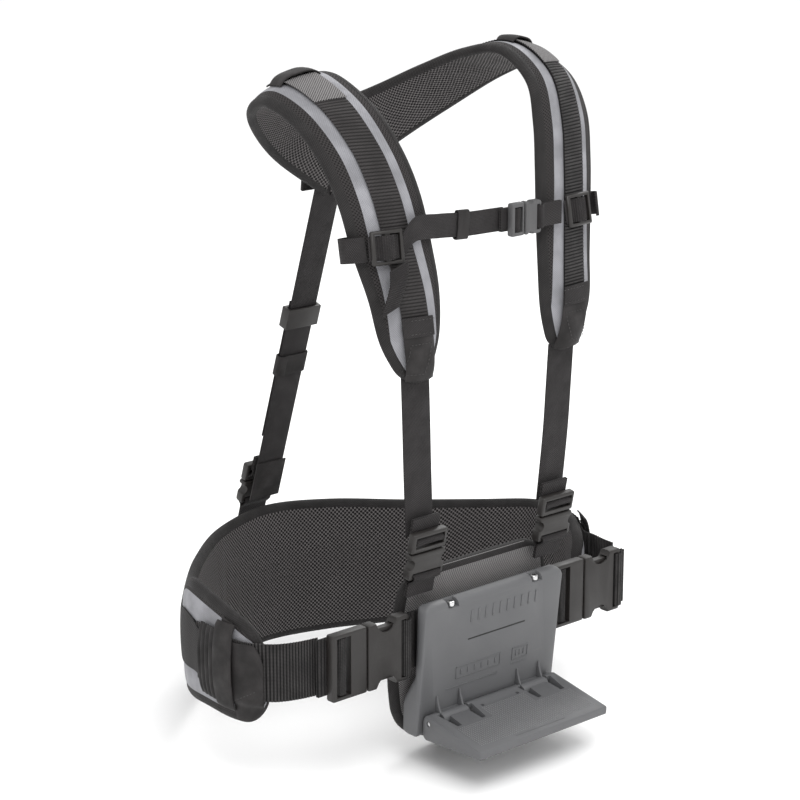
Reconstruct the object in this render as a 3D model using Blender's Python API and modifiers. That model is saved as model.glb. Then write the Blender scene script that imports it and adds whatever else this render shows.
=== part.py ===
"""Load-carrying harness: a padded hip belt and a padded shoulder harness with a belly pad in front,
which carries a moulded plate with a fold-down tool rest.

+Z is up, the wearer faces -Y, and the wearer's right side is at -X. The origin is on the wearer's
vertical axis, at the middle of the belt's height. Outlines are given in centimetres and turned into
metres by metres(); every other size is in metres.
"""

import math

import bmesh
import bpy
import numpy as np
from mathutils import Matrix, Vector

CM = 0.01
GAP = 0.0003
# Clearance between curved layers, whose flat facets come nearer than their surfaces
LAYER_GAP = 0.0024

# Driving dimensions
PAD_THICKNESS = 0.012
SHOULDER_THICKNESS = 0.010
LINING_THICKNESS = 0.002
WEBBING_THICKNESS = 0.0013
PATCH_THICKNESS = 0.0012

BELT_WEBBING = 0.050
STRAP_WEBBING = 0.030
CHEST_WEBBING = 0.020

BUCKLE_PLANE_Y = -0.152
BELT_CENTRE_Z = -0.003
RIGHT_BELT_MOUTH_X = -0.134
LEFT_BELT_MOUTH_X = 0.1192

PLATE_HALF_WIDTH = 0.080
REST_HALF_WIDTH = 0.075
HINGE_Y, HINGE_Z = -0.1655, -0.0745
HINGE_BARREL_RADIUS = 0.0075
HINGE_PIN_RADIUS = 0.002
PIN_CLEARANCE = 0.0003
LUG_CENTRE_X, LUG_HALF_WIDTH = 0.047, 0.0145
LUG_RADIUS = 0.0068
LUG_CLEARANCE = 0.0015

STRAP_X = 0.0745
STRAP_MOUTH = Vector((STRAP_X, -0.1615, 0.080))
STRAP_PULL = Vector((0, -0.2, 0.98)).normalized()

BACK_TOP = Vector((0, 0.0560, 0.331))
BACK_BOTTOM = Vector((0, 0.1405, 0.070))
BACK_PULL = (BACK_TOP - BACK_BOTTOM).normalized()
BACK_OUT = Vector((0, BACK_PULL.z, -BACK_PULL.y))
BACK_LAYER_SPACING = 0.0022

CHEST_MOUTH = Vector((0.031, -0.162, 0.344))
# How far along and across each shoulder pad its chest strap adjuster sits
CHEST_PLACE = {-1: (0.279, 0.68), 1: (0.272, 0.52)}

# Hip pad: x, y of its middle surface, and the heights of its lower and upper edges, from the right
# front end round the back to the left front end. Centimetres.
HIP_STATIONS = [
    (-20.9, -12.1, -4.6, 2.2),
    (-21.6, -10.8, -5.0, 3.2),
    (-22.0, -8.6, -5.1, 4.2),
    (-21.7, -5.3, -5.2, 4.8),
    (-20.6, -1.7, -5.8, 4.7),
    (-17.5, 3.0, -7.2, 2.5),
    (-12.5, 8.4, -9.7, 2.2),
    (-6.6, 12.9, -10.6, 2.3),
    (0.0, 14.6, -10.7, 2.6),
    (6.4, 12.9, -10.6, 2.3),
    (12.3, 8.6, -9.9, 2.0),
    (17.2, 3.6, -7.6, 2.2),
    (19.8, -0.6, -6.2, 2.7),
    (19.7, -4.3, -5.5, 3.1),
    (18.4, -7.6, -5.2, 3.1),
    (16.6, -10.2, -5.0, 2.6),
    (14.9, -11.6, -4.4, 1.8),
]

# Shoulder pad of the wearer's left side: its neck edge and its arm edge, from the tip in front over
# the shoulder to the middle of the back. Centimetres.
NECK_EDGE = [
    (7.1, -15.7, 22.4),
    (6.0, -15.8, 26.0),
    (5.8, -15.6, 30.0),
    (6.1, -15.0, 34.0),
    (6.6, -14.3, 38.0),
    (7.4, -13.2, 41.5),
    (8.4, -11.2, 44.8),
    (8.8, -7.2, 46.9),
    (8.0, -3.4, 46.4),
    (6.0, -0.4, 45.0),
    (3.2, 1.9, 43.4),
    (0.3, 2.9, 42.4),
]
ARM_EDGE = [
    (9.6, -15.8, 22.4),
    (11.6, -15.5, 26.0),
    (12.3, -14.8, 30.0),
    (13.2, -13.9, 34.0),
    (13.9, -13.1, 38.0),
    (14.7, -11.8, 41.5),
    (15.3, -9.2, 44.2),
    (15.3, -5.6, 45.3),
    (14.3, -2.2, 44.0),
    (11.3, 0.9, 41.3),
    (6.6, 3.8, 37.8),
    (0.3, 5.3, 33.8),
]
SHOULDER_CROWN = 0.0035
SHOULDER_DROP = {-1: 0.010, 1: 0.0}

# Belly pad: height, y of its middle surface and half of its width. Centimetres.
BELLY_STATIONS = [
    (5.3, -13.85, 7.2),
    (3.6, -13.75, 8.3),
    (0.0, -13.5, 8.8),
    (-4.0, -13.0, 8.7),
    (-8.0, -12.5, 7.8),
    (-10.2, -12.2, 6.6),
    (-11.5, -12.05, 4.6),
]


def metres(values):
    return np.array(values, float) * CM


def spline(stations, t):
    """A smooth curve through the stations; t runs from 0 at the first to 1 at the last."""
    last = len(stations) - 1
    place = min(max(t, 0.0), 1.0) * last
    i = min(int(place), last - 1)
    f = place - i
    b, c = stations[i], stations[i + 1]
    a = stations[i - 1] if i > 0 else 2 * b - c
    d = stations[i + 2] if i + 2 <= last else 2 * c - b
    cubic = 3 * b - a - 3 * c + d
    square = 2 * a - 5 * b + 4 * c - d
    return 0.5 * (2 * b + (c - a) * f + square * f * f + cubic * f**3)


# --------------------------------------------------------------------------- scene and helpers


def clear_scene():
    for old in list(bpy.data.objects):
        bpy.data.objects.remove(old, do_unlink=True)


def new_collection(name):
    collection = bpy.data.collections.new(name)
    bpy.context.scene.collection.children.link(collection)
    return collection


clear_scene()
PARTS = new_collection("load_harness")
CUTTERS = new_collection("cutters")

# Colour, roughness and metallic value of each finish
FINISHES = {
    "pad_fabric": ((0.21, 0.20, 0.22), 0.85, 0.0),
    "mesh_fabric": ((0.07, 0.065, 0.065), 0.9, 0.0),
    "webbing": ((0.045, 0.04, 0.042), 0.8, 0.0),
    "buckle_plastic": ((0.06, 0.055, 0.05), 0.45, 0.0),
    "plate_plastic": ((0.14, 0.143, 0.15), 0.5, 0.0),
    "chest_buckle_plastic": ((0.2, 0.2, 0.2), 0.45, 0.0),
    "steel": ((0.6, 0.6, 0.6), 0.3, 1.0),
}


def finish(obj, kind):
    colour, roughness, metallic = FINISHES[kind]
    material = bpy.data.materials.new(obj.name)
    material.use_nodes = True
    shader = material.node_tree.nodes["Principled BSDF"]
    shader.inputs["Base Color"].default_value = (*colour, 1.0)
    shader.inputs["Roughness"].default_value = roughness
    shader.inputs["Metallic"].default_value = metallic
    obj.data.materials.append(material)
    return obj


def new_object(name, bm, collection=PARTS):
    mesh = bpy.data.meshes.new(name)
    bmesh.ops.recalc_face_normals(bm, faces=bm.faces)
    bm.to_mesh(mesh)
    bm.free()
    obj = bpy.data.objects.new(name, mesh)
    collection.objects.link(obj)
    return obj


def sheet(name, point, columns, rows, thickness, kind):
    """A shell: a grid laid on the surface point(along, across), thickened evenly to both sides."""
    bm = bmesh.new()
    bmesh.ops.create_grid(bm, x_segments=columns, y_segments=rows, size=0.5)
    for vert in bm.verts:
        vert.co = point(vert.co.x + 0.5, vert.co.y + 0.5)
    obj = new_object(name, bm)
    solid = obj.modifiers.new("thickness", "SOLIDIFY")
    solid.thickness = thickness
    solid.offset = 0
    return finish(obj, kind)


def ribbon(name, path, across, width, kind="webbing", thickness=WEBBING_THICKNESS, columns=None):
    """A flat strap along the path, in metres; across is the direction of its width."""
    stations = np.array([tuple(point) for point in path])
    half = np.array(Vector(across).normalized()) * width

    def point(along, side):
        return spline(stations, along) + half * (side - 0.5)

    return sheet(name, point, columns or 2 * (len(stations) - 1), 1, thickness, kind)


def box(name, low, high, collection=PARTS):
    bm = bmesh.new()
    bmesh.ops.create_cube(bm, size=1)
    low, high = Vector(low), Vector(high)
    for vert in bm.verts:
        vert.co = [low[i] + (vert.co[i] + 0.5) * (high[i] - low[i]) for i in range(3)]
    return new_object(name, bm, collection)


def rod(name, radius, low, high, axis, collection=PARTS, sides=24):
    """A cylinder from low to high, whose axis is X, Y or Z."""
    bm = bmesh.new()
    low, high = Vector(low), Vector(high)
    bmesh.ops.create_cone(
        bm, cap_ends=True, segments=sides, radius1=radius, radius2=radius, depth=(high - low).length
    )
    turn = {"X": Matrix.Rotation(math.pi / 2, 4, "Y"), "Z": Matrix.Identity(4)}[axis]
    bmesh.ops.transform(bm, matrix=Matrix.Translation((low + high) / 2) @ turn, verts=bm.verts)
    obj = new_object(name, bm, collection)
    obj.data.shade_smooth()
    obj.data.set_sharp_from_angle(angle=math.radians(35))
    return obj


def bevel(obj, width, segments=2):
    edge = obj.modifiers.new("rounding", "BEVEL")
    edge.width = width
    edge.segments = segments
    edge.limit_method = "ANGLE"


def combine(obj, other, operation):
    """Keeps the other object as a helper, and cuts it from this one or joins it to it."""
    for collection in list(other.users_collection):
        collection.objects.unlink(other)
    CUTTERS.objects.link(other)
    other.hide_render = True
    other.display_type = "WIRE"
    boolean = obj.modifiers.new(operation.lower(), "BOOLEAN")
    boolean.operation = operation
    boolean.object = other


def helper_box(obj, label, low, high, operation):
    combine(obj, box(f"{obj.name}_{label}", low, high, CUTTERS), operation)


def frame_at(place, pull, outward):
    """A frame whose x is the pull direction and whose z faces outward."""
    x = Vector(pull).normalized()
    z = (Vector(outward) - Vector(outward).dot(x) * x).normalized()
    y = z.cross(x)
    frame = Matrix((x, y, z)).transposed().to_4x4()
    frame.translation = Vector(place)
    return frame


def place(obj, frame):
    """Moves an object that was built in a local frame, with its helpers, to where it belongs."""
    for modifier in obj.modifiers:
        if modifier.type == "BOOLEAN":
            modifier.object.matrix_world = frame
    obj.matrix_world = frame


# --------------------------------------------------------------------------- belt and shoulder surfaces

HIP = metres(HIP_STATIONS)
NECK = metres(NECK_EDGE)
ARM = metres(ARM_EDGE)
BELLY = metres(BELLY_STATIONS)
STEP = 0.004


def hip_point(index, height, offset):
    """A point of the hip pad by station number, by height in metres, and out from its middle surface."""
    t = index / (len(HIP) - 1)
    here = spline(HIP, t)
    ahead = spline(HIP, min(t + STEP, 1)) - spline(HIP, max(t - STEP, 0))
    outward = Vector((-ahead[1], ahead[0], 0)).normalized()
    return Vector((here[0], here[1], height)) + outward * offset


def hip_edge(index, share):
    """The height at a share of the pad's own height there, 0 at its lower edge and 1 at its upper."""
    low, high = spline(HIP, index / (len(HIP) - 1))[2:]
    return low + (high - low) * share


def shoulder_point(side, along, across, offset):
    """A point of a shoulder pad. along is 0 at the tip and 1 at the back, across is 0 at the neck edge."""

    def surface(a, b):
        flat = spline(NECK, a) * (1 - b) + spline(ARM, a) * b
        return Vector(flat)

    a0, a1 = max(along - STEP, 0), min(along + STEP, 1)
    forward = surface(a1, across) - surface(a0, across)
    sideways = surface(along, 1) - surface(along, 0)
    normal = sideways.cross(forward).normalized()
    crown = SHOULDER_CROWN * (1 - (2 * across - 1) ** 2)
    point = surface(along, across) + normal * (offset + crown)
    drop = SHOULDER_DROP[side] * math.sin(math.pi * along) ** 1.5 if 0 < along < 1 else 0
    return Vector((side * point.x, point.y, point.z - drop))


def belly_point(height_share, across, offset):
    """A point of the belly pad: height_share is 0 at the top, across runs from -1 to 1."""
    z, y, half = spline(BELLY, height_share)
    return Vector((across * half, y - offset, z))


# --------------------------------------------------------------------------- belt pads


def hip_layer(name, inset, offset, thickness, kind):
    last = len(HIP) - 1

    def point(along, up):
        index = (inset + along * (1 - 2 * inset)) * last
        share = inset + up * (1 - 2 * inset)
        return hip_point(index, hip_edge(index, share), offset)

    sheet(name, point, 32, 3, thickness, kind)


def belt_loop(name, first, last):
    """A loop of stiff webbing that stands over the belt webbing."""
    base = PAD_THICKNESS / 2 + GAP + PATCH_THICKNESS / 2 + 0.0006

    def point(along, up):
        height = BELT_CENTRE_Z + (up - 0.5) * 0.074
        lift = 0.0075 * math.sin(math.pi * up) ** 0.5 if 0 < up < 1 else 0
        return hip_point(first + along * (last - first), height, base + lift)

    sheet(name, point, 2, 8, PATCH_THICKNESS, "webbing")


def pocket_panel(name, first, last):
    """A flat pleated pocket on the outside of the hip pad."""

    def point(along, up):
        height = BELT_CENTRE_Z - 0.034 + up * 0.058
        return hip_point(first + along * (last - first), height, PAD_THICKNESS / 2 + 0.0028)

    sheet(name, point, 5, 2, 0.003, "webbing")


def hip_belt():
    hip_layer("hip_pad", 0.0, 0.0, PAD_THICKNESS, "pad_fabric")
    inside = -(PAD_THICKNESS + LINING_THICKNESS) / 2 - LAYER_GAP
    hip_layer("hip_pad_lining", 0.02, inside, LINING_THICKNESS, "mesh_fabric")
    belt_loop("right_belt_loop", 1.6, 2.3)
    belt_loop("left_belt_loop", 13.7, 14.4)
    pocket_panel("right_pocket_panel", 3.35, 4.3)
    pocket_panel("left_pocket_panel", 11.9, 12.8)
    lift = PAD_THICKNESS / 2 + 0.0026
    right = [hip_point(i, BELT_CENTRE_Z, lift) for i in (3.2, 2.6, 2.0, 1.4, 0.8)]
    right += [Vector((x * CM, y * CM, BELT_CENTRE_Z)) for x, y in ((-20.9, -13.0), (-19.2, -13.75), (-17.4, -14.1))]
    ribbon("right_belt_webbing", right, (0, 0, 1), BELT_WEBBING, columns=16)
    left = [hip_point(i, BELT_CENTRE_Z, lift) for i in (12.95, 13.5, 14.0, 14.5)]
    left += [Vector((x * CM, y * CM, BELT_CENTRE_Z)) for x, y in ((18.2, -10.6), (17.9, -12.2))]
    left += [Vector((0.178, -0.1350, BELT_CENTRE_Z))]
    ribbon("left_belt_webbing", left, (0, 0, 1), BELT_WEBBING, columns=14)


def belly():
    def point(across, down):
        return belly_point(down, 2 * across - 1, 0)

    sheet("belly_pad", point, 4, 10, PAD_THICKNESS + LINING_THICKNESS, "pad_fabric")


# --------------------------------------------------------------------------- buckles


class BuckleSize:
    """Sizes of a side-release buckle for webbing of one width."""

    def __init__(self, webbing, socket_length, latch_length, thickness, bar, slot, middle):
        self.webbing = webbing
        self.width = webbing + 0.008
        self.socket_length = socket_length
        self.latch_length = latch_length
        self.thickness = thickness
        self.bar = bar
        self.slot = slot
        self.middle = middle
        self.cavity_depth = socket_length - bar - slot - 0.0025
        self.cavity_half = webbing / 2 - 0.001
        self.cavity_thickness = thickness - 0.0045
        self.latch_thickness = thickness - 0.002
        self.middle_x = latch_length - bar - slot - middle / 2


BELT_BUCKLE = BuckleSize(BELT_WEBBING, 0.045, 0.037, 0.0115, 0.004, 0.005, 0.005)
STRAP_BUCKLE = BuckleSize(STRAP_WEBBING, 0.024, 0.018, 0.0095, 0.003, 0.0036, 0.003)
CHEST_BUCKLE = BuckleSize(CHEST_WEBBING, 0.0185, 0.0145, 0.0090, 0.0027, 0.0032, 0.0025)


def buckle_socket(name, size, frame, kind):
    """The socket half, in a frame whose x points out of its mouth."""
    half, tall = size.width / 2, size.thickness / 2
    body = box(name, (-size.socket_length, -half, -tall), (-GAP, half, tall))
    bevel(body, 0.0022)
    deep, wide, high = size.cavity_depth, size.cavity_half, size.cavity_thickness / 2
    helper_box(body, "cavity", (-deep, -wide, -high), (0.002, wide, high), "DIFFERENCE")
    slot_start = -size.socket_length + size.bar
    reach = size.webbing / 2 + 0.0006
    helper_box(
        body,
        "slot",
        (slot_start, -reach, -2 * tall),
        (slot_start + size.slot, reach, 2 * tall),
        "DIFFERENCE",
    )
    radius = 0.34 * size.cavity_depth
    for label, side in (("window_a", 1), ("window_b", -1)):
        centre = Vector((-0.60 * deep, side * (half + 0.15 * radius), 0))
        up = Vector((0, 0, 2 * tall))
        cutter = rod(f"{name}_{label}", radius, centre - up, centre + up, "Z", CUTTERS, 20)
        combine(body, cutter, "DIFFERENCE")
    place(body, frame)
    return finish(body, kind)


def buckle_latch(name, size, frame, kind):
    """The latch half: a ladder for the webbing, a centre guide and two spring arms."""
    half, tall = size.width / 2, size.latch_thickness / 2
    body = box(name, (GAP, -half, -tall), (size.latch_length, half, tall))
    bevel(body, 0.0018)
    reach = size.webbing / 2 + 0.0006
    window_end = size.latch_length - size.bar
    window_start = window_end - 2 * size.slot - size.middle
    helper_box(
        body, "window", (window_start, -reach, -2 * tall), (window_end, reach, 2 * tall), "DIFFERENCE"
    )
    middle = Vector((size.middle_x, 0, 0))
    low = middle - Vector((size.middle / 2, reach + 0.001, 0.0018))
    high = middle + Vector((size.middle / 2, reach + 0.001, 0.0018))
    helper_box(body, "middle_bar", low, high, "UNION")
    deep = size.cavity_depth - 0.002
    thick = size.cavity_thickness / 2 - 0.0006
    guide = 0.14 * size.webbing
    helper_box(body, "guide", (-deep, -guide, -thick), (0.002, guide, thick), "UNION")
    outer = size.cavity_half - 0.0008
    inner = outer - 0.13 * size.webbing
    for label, first, last in (("arm_a", inner, outer), ("arm_b", -outer, -inner)):
        helper_box(body, label, (-deep, first, -thick), (0.002, last, thick), "UNION")
    place(body, frame)
    return finish(body, kind)


def in_frame(frame, points):
    return [frame @ Vector((x, 0, z)) for x, z in points]


def ladder_wrap(name, size, frame, reach):
    """Webbing that comes in under the end bar, passes over the middle bar and goes back."""
    end, middle = size.latch_length, size.middle_x
    under = -(size.latch_thickness / 2 + 0.0010)
    lower = under - WEBBING_THICKNESS - 0.0005
    half = size.middle / 2 + 0.0014
    over = 0.0018 + 0.0016
    path = [
        (end + reach, under),
        (end, under),
        (middle + half + 0.0009, under + 0.0003),
        (middle + half + 0.0006, 0.0),
        (middle + half - 0.0014, over - 0.0003),
        (middle, over),
        (middle - half + 0.0014, over - 0.0003),
        (middle - half - 0.0004, 0.0),
        (middle - half - 0.0002, under),
        (middle - half + 0.0022, lower),
        (middle + half, lower),
        (end + reach, lower),
    ]
    across = frame.to_3x3() @ Vector((0, 1, 0))
    ribbon(name, in_frame(frame, path), across, size.webbing - 0.0004, columns=24)


def bar_wrap(name, size, frame, front, back):
    """Webbing folded round the bar at the closed end of a socket, with its two legs beyond the bar.

    front and back are the points of each leg, from the bar outwards, measured from the socket's end.
    """
    end = -size.socket_length
    over = size.thickness / 2 + 0.0013
    slot = end + size.bar + size.slot / 2
    path = [(end + x, z) for x, z in reversed(front)]
    path += [
        (end + 0.0006, over),
        (slot - 0.0012, over - 0.0005),
        (slot, 0.0),
        (slot - 0.0012, -over + 0.0005),
        (end + 0.0006, -over),
    ]
    path += [(end + x, z) for x, z in back]
    across = frame.to_3x3() @ Vector((0, 1, 0))
    columns = 3 * (len(path) - 1)
    ribbon(name, in_frame(frame, path), across, size.webbing - 0.0004, columns=columns)


def belt_buckles():
    right = frame_at((RIGHT_BELT_MOUTH_X, BUCKLE_PLANE_Y, BELT_CENTRE_Z), (-1, 0, 0), (0, -1, 0))
    buckle_socket("right_belt_socket", BELT_BUCKLE, right, "buckle_plastic")
    buckle_latch("right_belt_latch", BELT_BUCKLE, right, "buckle_plastic")
    ladder_wrap("right_belt_wrap", BELT_BUCKLE, right, 0.008)
    left = frame_at((LEFT_BELT_MOUTH_X, BUCKLE_PLANE_Y, BELT_CENTRE_Z), (-1, 0, 0), (0, -1, 0))
    buckle_socket("left_belt_socket", BELT_BUCKLE, left, "buckle_plastic")
    buckle_latch("left_belt_latch", BELT_BUCKLE, left, "buckle_plastic")
    closed = [(-0.0022, 0.0048), (-0.0050, 0.0014), (-0.0090, 0.0012)]
    bar_wrap("left_belt_wrap", BELT_BUCKLE, left, closed, [(x, -z) for x, z in closed])
    front = [(-0.0026, 0.0035), (-0.0050, -0.0025), (-0.0085, -0.0046), (-0.0300, -0.0046)]
    back = [(-0.0035, -0.0068), (-0.0085, -0.0064), (-0.0300, -0.0064)]
    bar_wrap("right_side_webbing", BELT_BUCKLE, right, front, back)
    ladder_wrap("left_side_webbing", BELT_BUCKLE, left, 0.026)


def front_straps():
    for side, word in ((-1, "right"), (1, "left")):
        mouth = Vector((side * STRAP_MOUTH.x, STRAP_MOUTH.y, STRAP_MOUTH.z))
        frame = frame_at(mouth, STRAP_PULL, (0, -1, 0))
        buckle_socket(f"{word}_strap_socket", STRAP_BUCKLE, frame, "buckle_plastic")
        buckle_latch(f"{word}_strap_latch", STRAP_BUCKLE, frame, "buckle_plastic")
        ladder_wrap(f"{word}_strap_wrap", STRAP_BUCKLE, frame, 0.010)
        front = [(-0.0024, 0.0034), (-0.0060, 0.0004), (-0.0180, 0.0000)]
        back = [(-0.0030, -0.0040), (-0.0070, -0.0018), (-0.0180, -0.0020)]
        bar_wrap(f"{word}_anchor_loop", STRAP_BUCKLE, frame, front, back)
        path = [(0.0835, -0.1575, 0.2205), (0.0795, -0.1562, 0.15), (0.0752, -0.1540, 0.092)]
        path = [(side * x, y, z) for x, y, z in path]
        ribbon(f"{word}_front_strap", path, (1, 0, 0), STRAP_WEBBING, columns=8)


# --------------------------------------------------------------------------- plate and tool rest


def outline_solid(name, outline, half_width):
    """A solid of constant outline in the y-z plane, made as a filled 2D curve and turned upright."""
    curve = bpy.data.curves.new(name, "CURVE")
    curve.dimensions = "2D"
    curve.fill_mode = "BOTH"
    curve.extrude = half_width
    line = curve.splines.new("POLY")
    line.points.add(len(outline) - 1)
    for point, (y, z) in zip(line.points, outline):
        point.co = (y, z, 0, 1)
    line.use_cyclic_u = True
    drawn = bpy.data.objects.new(f"{name}_outline", curve)
    PARTS.objects.link(drawn)
    bpy.context.view_layer.update()
    evaluated = drawn.evaluated_get(bpy.context.evaluated_depsgraph_get())
    bm = bmesh.new()
    bm.from_mesh(bpy.data.meshes.new_from_object(evaluated))
    bpy.data.objects.remove(drawn)
    bmesh.ops.remove_doubles(bm, verts=bm.verts, dist=0.00001)
    upright = Matrix(((0, 0, 1, 0), (1, 0, 0, 0), (0, 1, 0, 0), (0, 0, 0, 1)))
    bmesh.ops.transform(bm, matrix=upright, verts=bm.verts)
    return new_object(name, bm)


def plate():
    """The moulded plate, a wedge that leans forward, with two lugs that hold the hinge pin."""
    side = [(-0.1690, 0.030), (-0.1545, 0.032), (-0.1517, -0.034), (-0.1370, -0.058)]
    side += [(-0.1370, -0.090), (-0.1556, -0.090)]
    body = outline_solid("tool_plate", side, PLATE_HALF_WIDTH)
    bevel(body, 0.0055, 3)
    for centre in (-LUG_CENTRE_X, LUG_CENTRE_X):
        low, high = centre - LUG_HALF_WIDTH, centre + LUG_HALF_WIDTH
        helper_box(
            body,
            f"bridge_{'a' if centre < 0 else 'b'}",
            (low + 0.0004, HINGE_Y + 0.001, HINGE_Z - 0.0045),
            (high - 0.0004, -0.152, HINGE_Z + 0.0055),
            "UNION",
        )
        barrel = rod(
            f"tool_plate_lug_{'a' if centre < 0 else 'b'}",
            LUG_RADIUS,
            (low, HINGE_Y, HINGE_Z),
            (high, HINGE_Y, HINGE_Z),
            "X",
            CUTTERS,
        )
        combine(body, barrel, "UNION")
        notch = (centre * 1.04 - 0.006, -0.2, 0.0245), (centre * 1.04 + 0.006, -0.1600, 0.04)
        helper_box(body, f"notch_{'a' if centre < 0 else 'b'}", *notch, "DIFFERENCE")
    radius = HINGE_PIN_RADIUS + PIN_CLEARANCE
    ends = (-0.09, HINGE_Y, HINGE_Z), (0.09, HINGE_Y, HINGE_Z)
    combine(body, rod("tool_plate_pin_hole", radius, *ends, "X", CUTTERS, 16), "DIFFERENCE")
    finish(body, "plate_plastic")
    for side, word in ((-1, "right"), (1, "left")):
        x = side * LUG_CENTRE_X * 1.04
        low, high = (x, -0.1640, 0.0248), (x, -0.1640, 0.0295)
        screw = rod(f"{word}_plate_screw", 0.0035, low, high, "Z", sides=16)
        finish(screw, "steel")
    reach = REST_HALF_WIDTH - 0.001
    ends = (-reach, HINGE_Y, HINGE_Z), (reach, HINGE_Y, HINGE_Z)
    finish(rod("hinge_pin", HINGE_PIN_RADIUS, *ends, "X", sides=16), "steel")


def tool_rest():
    """The fold-down rest: a wedge whose rear edge is rounded about the hinge pin."""
    radius = HINGE_BARREL_RADIUS
    turn = [math.radians(a) for a in (0, 30, 60, 90)]
    outline = [(radius * math.cos(a), radius * math.sin(a)) for a in turn]
    outline += [(-0.0645, -0.0045), (-0.0640, -0.0120), (0.0040, -0.0155), (radius, -0.0125)]
    body = outline_solid("tool_rest", outline, REST_HALF_WIDTH)
    bevel(body, 0.0015)
    hole = HINGE_PIN_RADIUS + PIN_CLEARANCE
    ends = (-0.09, 0, 0), (0.09, 0, 0)
    combine(body, rod("tool_rest_pin_hole", hole, *ends, "X", CUTTERS, 16), "DIFFERENCE")
    for centre, word in ((-LUG_CENTRE_X, "a"), (LUG_CENTRE_X, "b")):
        wide = LUG_HALF_WIDTH + LUG_CLEARANCE
        front = LUG_RADIUS + LUG_CLEARANCE
        low = (centre - wide, -front, -front)
        high = (centre + wide, 2 * radius, 2 * radius)
        helper_box(body, f"pocket_{word}", low, high, "DIFFERENCE")
    place(body, Matrix.Translation((0, HINGE_Y, HINGE_Z)))
    finish(body, "plate_plastic")


# --------------------------------------------------------------------------- shoulder harness


def shoulder_strip(name, side, span, across, offset, thickness, cells, kind):
    """A layer on a shoulder pad, between two shares of its length and of its width."""

    def point(along, over):
        a = span[0] + along * (span[1] - span[0])
        b = across[0] + over * (across[1] - across[0])
        return shoulder_point(side, a, b, offset)

    sheet(name, point, cells[0], cells[1], thickness, kind)


def shoulders():
    half = SHOULDER_THICKNESS / 2
    on_pad = half + LAYER_GAP + WEBBING_THICKNESS / 2
    on_webbing = on_pad + WEBBING_THICKNESS / 2 + 3 * GAP + PATCH_THICKNESS / 2
    inside = -(half + LAYER_GAP + LINING_THICKNESS / 2)
    for side, word in ((-1, "right"), (1, "left")):
        strip = f"{word}_shoulder"
        layers = [
            (f"{strip}_pad", (0, 1), (0, 1), 0.0, SHOULDER_THICKNESS, (22, 2), "pad_fabric"),
            (f"{strip}_lining", (0.01, 0.99), (0.04, 0.96), inside, LINING_THICKNESS, (22, 2), "mesh_fabric"),
            (f"{strip}_webbing", (0.02, 0.66), (0.28, 0.72), on_pad, WEBBING_THICKNESS, (16, 1), "webbing"),
            (f"{strip}_elastic", (0.585, 0.625), (0.24, 0.76), on_webbing, PATCH_THICKNESS, (2, 2), "webbing"),
        ]
        for name, span, across, offset, thickness, cells, kind in layers:
            shoulder_strip(name, side, span, across, offset, thickness, cells, kind)


# --------------------------------------------------------------------------- back strap


def back_line(z_share, outward):
    """A point of the back strap's line, 0 at its top, moved outward from it."""
    return BACK_TOP + (BACK_BOTTOM - BACK_TOP) * z_share + BACK_OUT * outward


def sleeve(name, centre, along, outward, inner, length, wall, kind):
    """A rectangular ring that goes round a strap: inner is its inside width and thickness."""
    frame = frame_at(centre, along, outward)
    wide, high = inner[0] / 2, inner[1] / 2
    low = (-length / 2, -wide - wall, -high - wall)
    body = box(name, low, tuple(-value for value in low))
    hole = (-length, -wide, -high)
    helper_box(body, "hole", hole, tuple(-value for value in hole), "DIFFERENCE")
    place(body, frame)
    return finish(body, kind)


def back_strap():
    middle = BACK_LAYER_SPACING / 2

    def yoke(across, up):
        half = 0.020 + 0.011 * up
        return Vector(((2 * across - 1) * half, 0.0635 - 0.0223 * up, 0.3415 + 0.080 * up))

    sheet("back_yoke", yoke, 2, 3, 0.003, "webbing")
    strap = [back_line(t, -middle) for t in (0, 0.5, 1.0)]
    ribbon("back_strap", strap, (1, 0, 0), STRAP_WEBBING, columns=4)
    back = [back_line(t, middle) for t in (0.36, 0.6, 0.88)]
    ribbon("back_strap_return", back, (1, 0, 0), STRAP_WEBBING, columns=3)
    inner = (STRAP_WEBBING + 0.0014, BACK_LAYER_SPACING + WEBBING_THICKNESS + 0.0014)
    slide = back_line(0.42, 0)
    sleeve("back_slide", slide, BACK_PULL, BACK_OUT, inner, 0.020, 0.0028, "buckle_plastic")
    keeper = back_line(0.60, 0)
    sleeve("back_keeper", keeper, BACK_PULL, BACK_OUT, inner, 0.020, 0.0015, "webbing")
    mouth = back_line(1.075, 0.0105)
    frame = frame_at(mouth, BACK_PULL, BACK_OUT)
    buckle_socket("back_strap_socket", STRAP_BUCKLE, frame, "buckle_plastic")
    buckle_latch("back_strap_latch", STRAP_BUCKLE, frame, "buckle_plastic")
    ladder_wrap("back_strap_wrap", STRAP_BUCKLE, frame, 0.010)
    front = [(-0.0024, 0.0034), (-0.0060, 0.0004), (-0.0220, 0.0000)]
    back = [(-0.0030, -0.0040), (-0.0070, -0.0018), (-0.0220, -0.0020)]
    bar_wrap("back_loop", STRAP_BUCKLE, frame, front, back)


# --------------------------------------------------------------------------- chest strap


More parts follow.
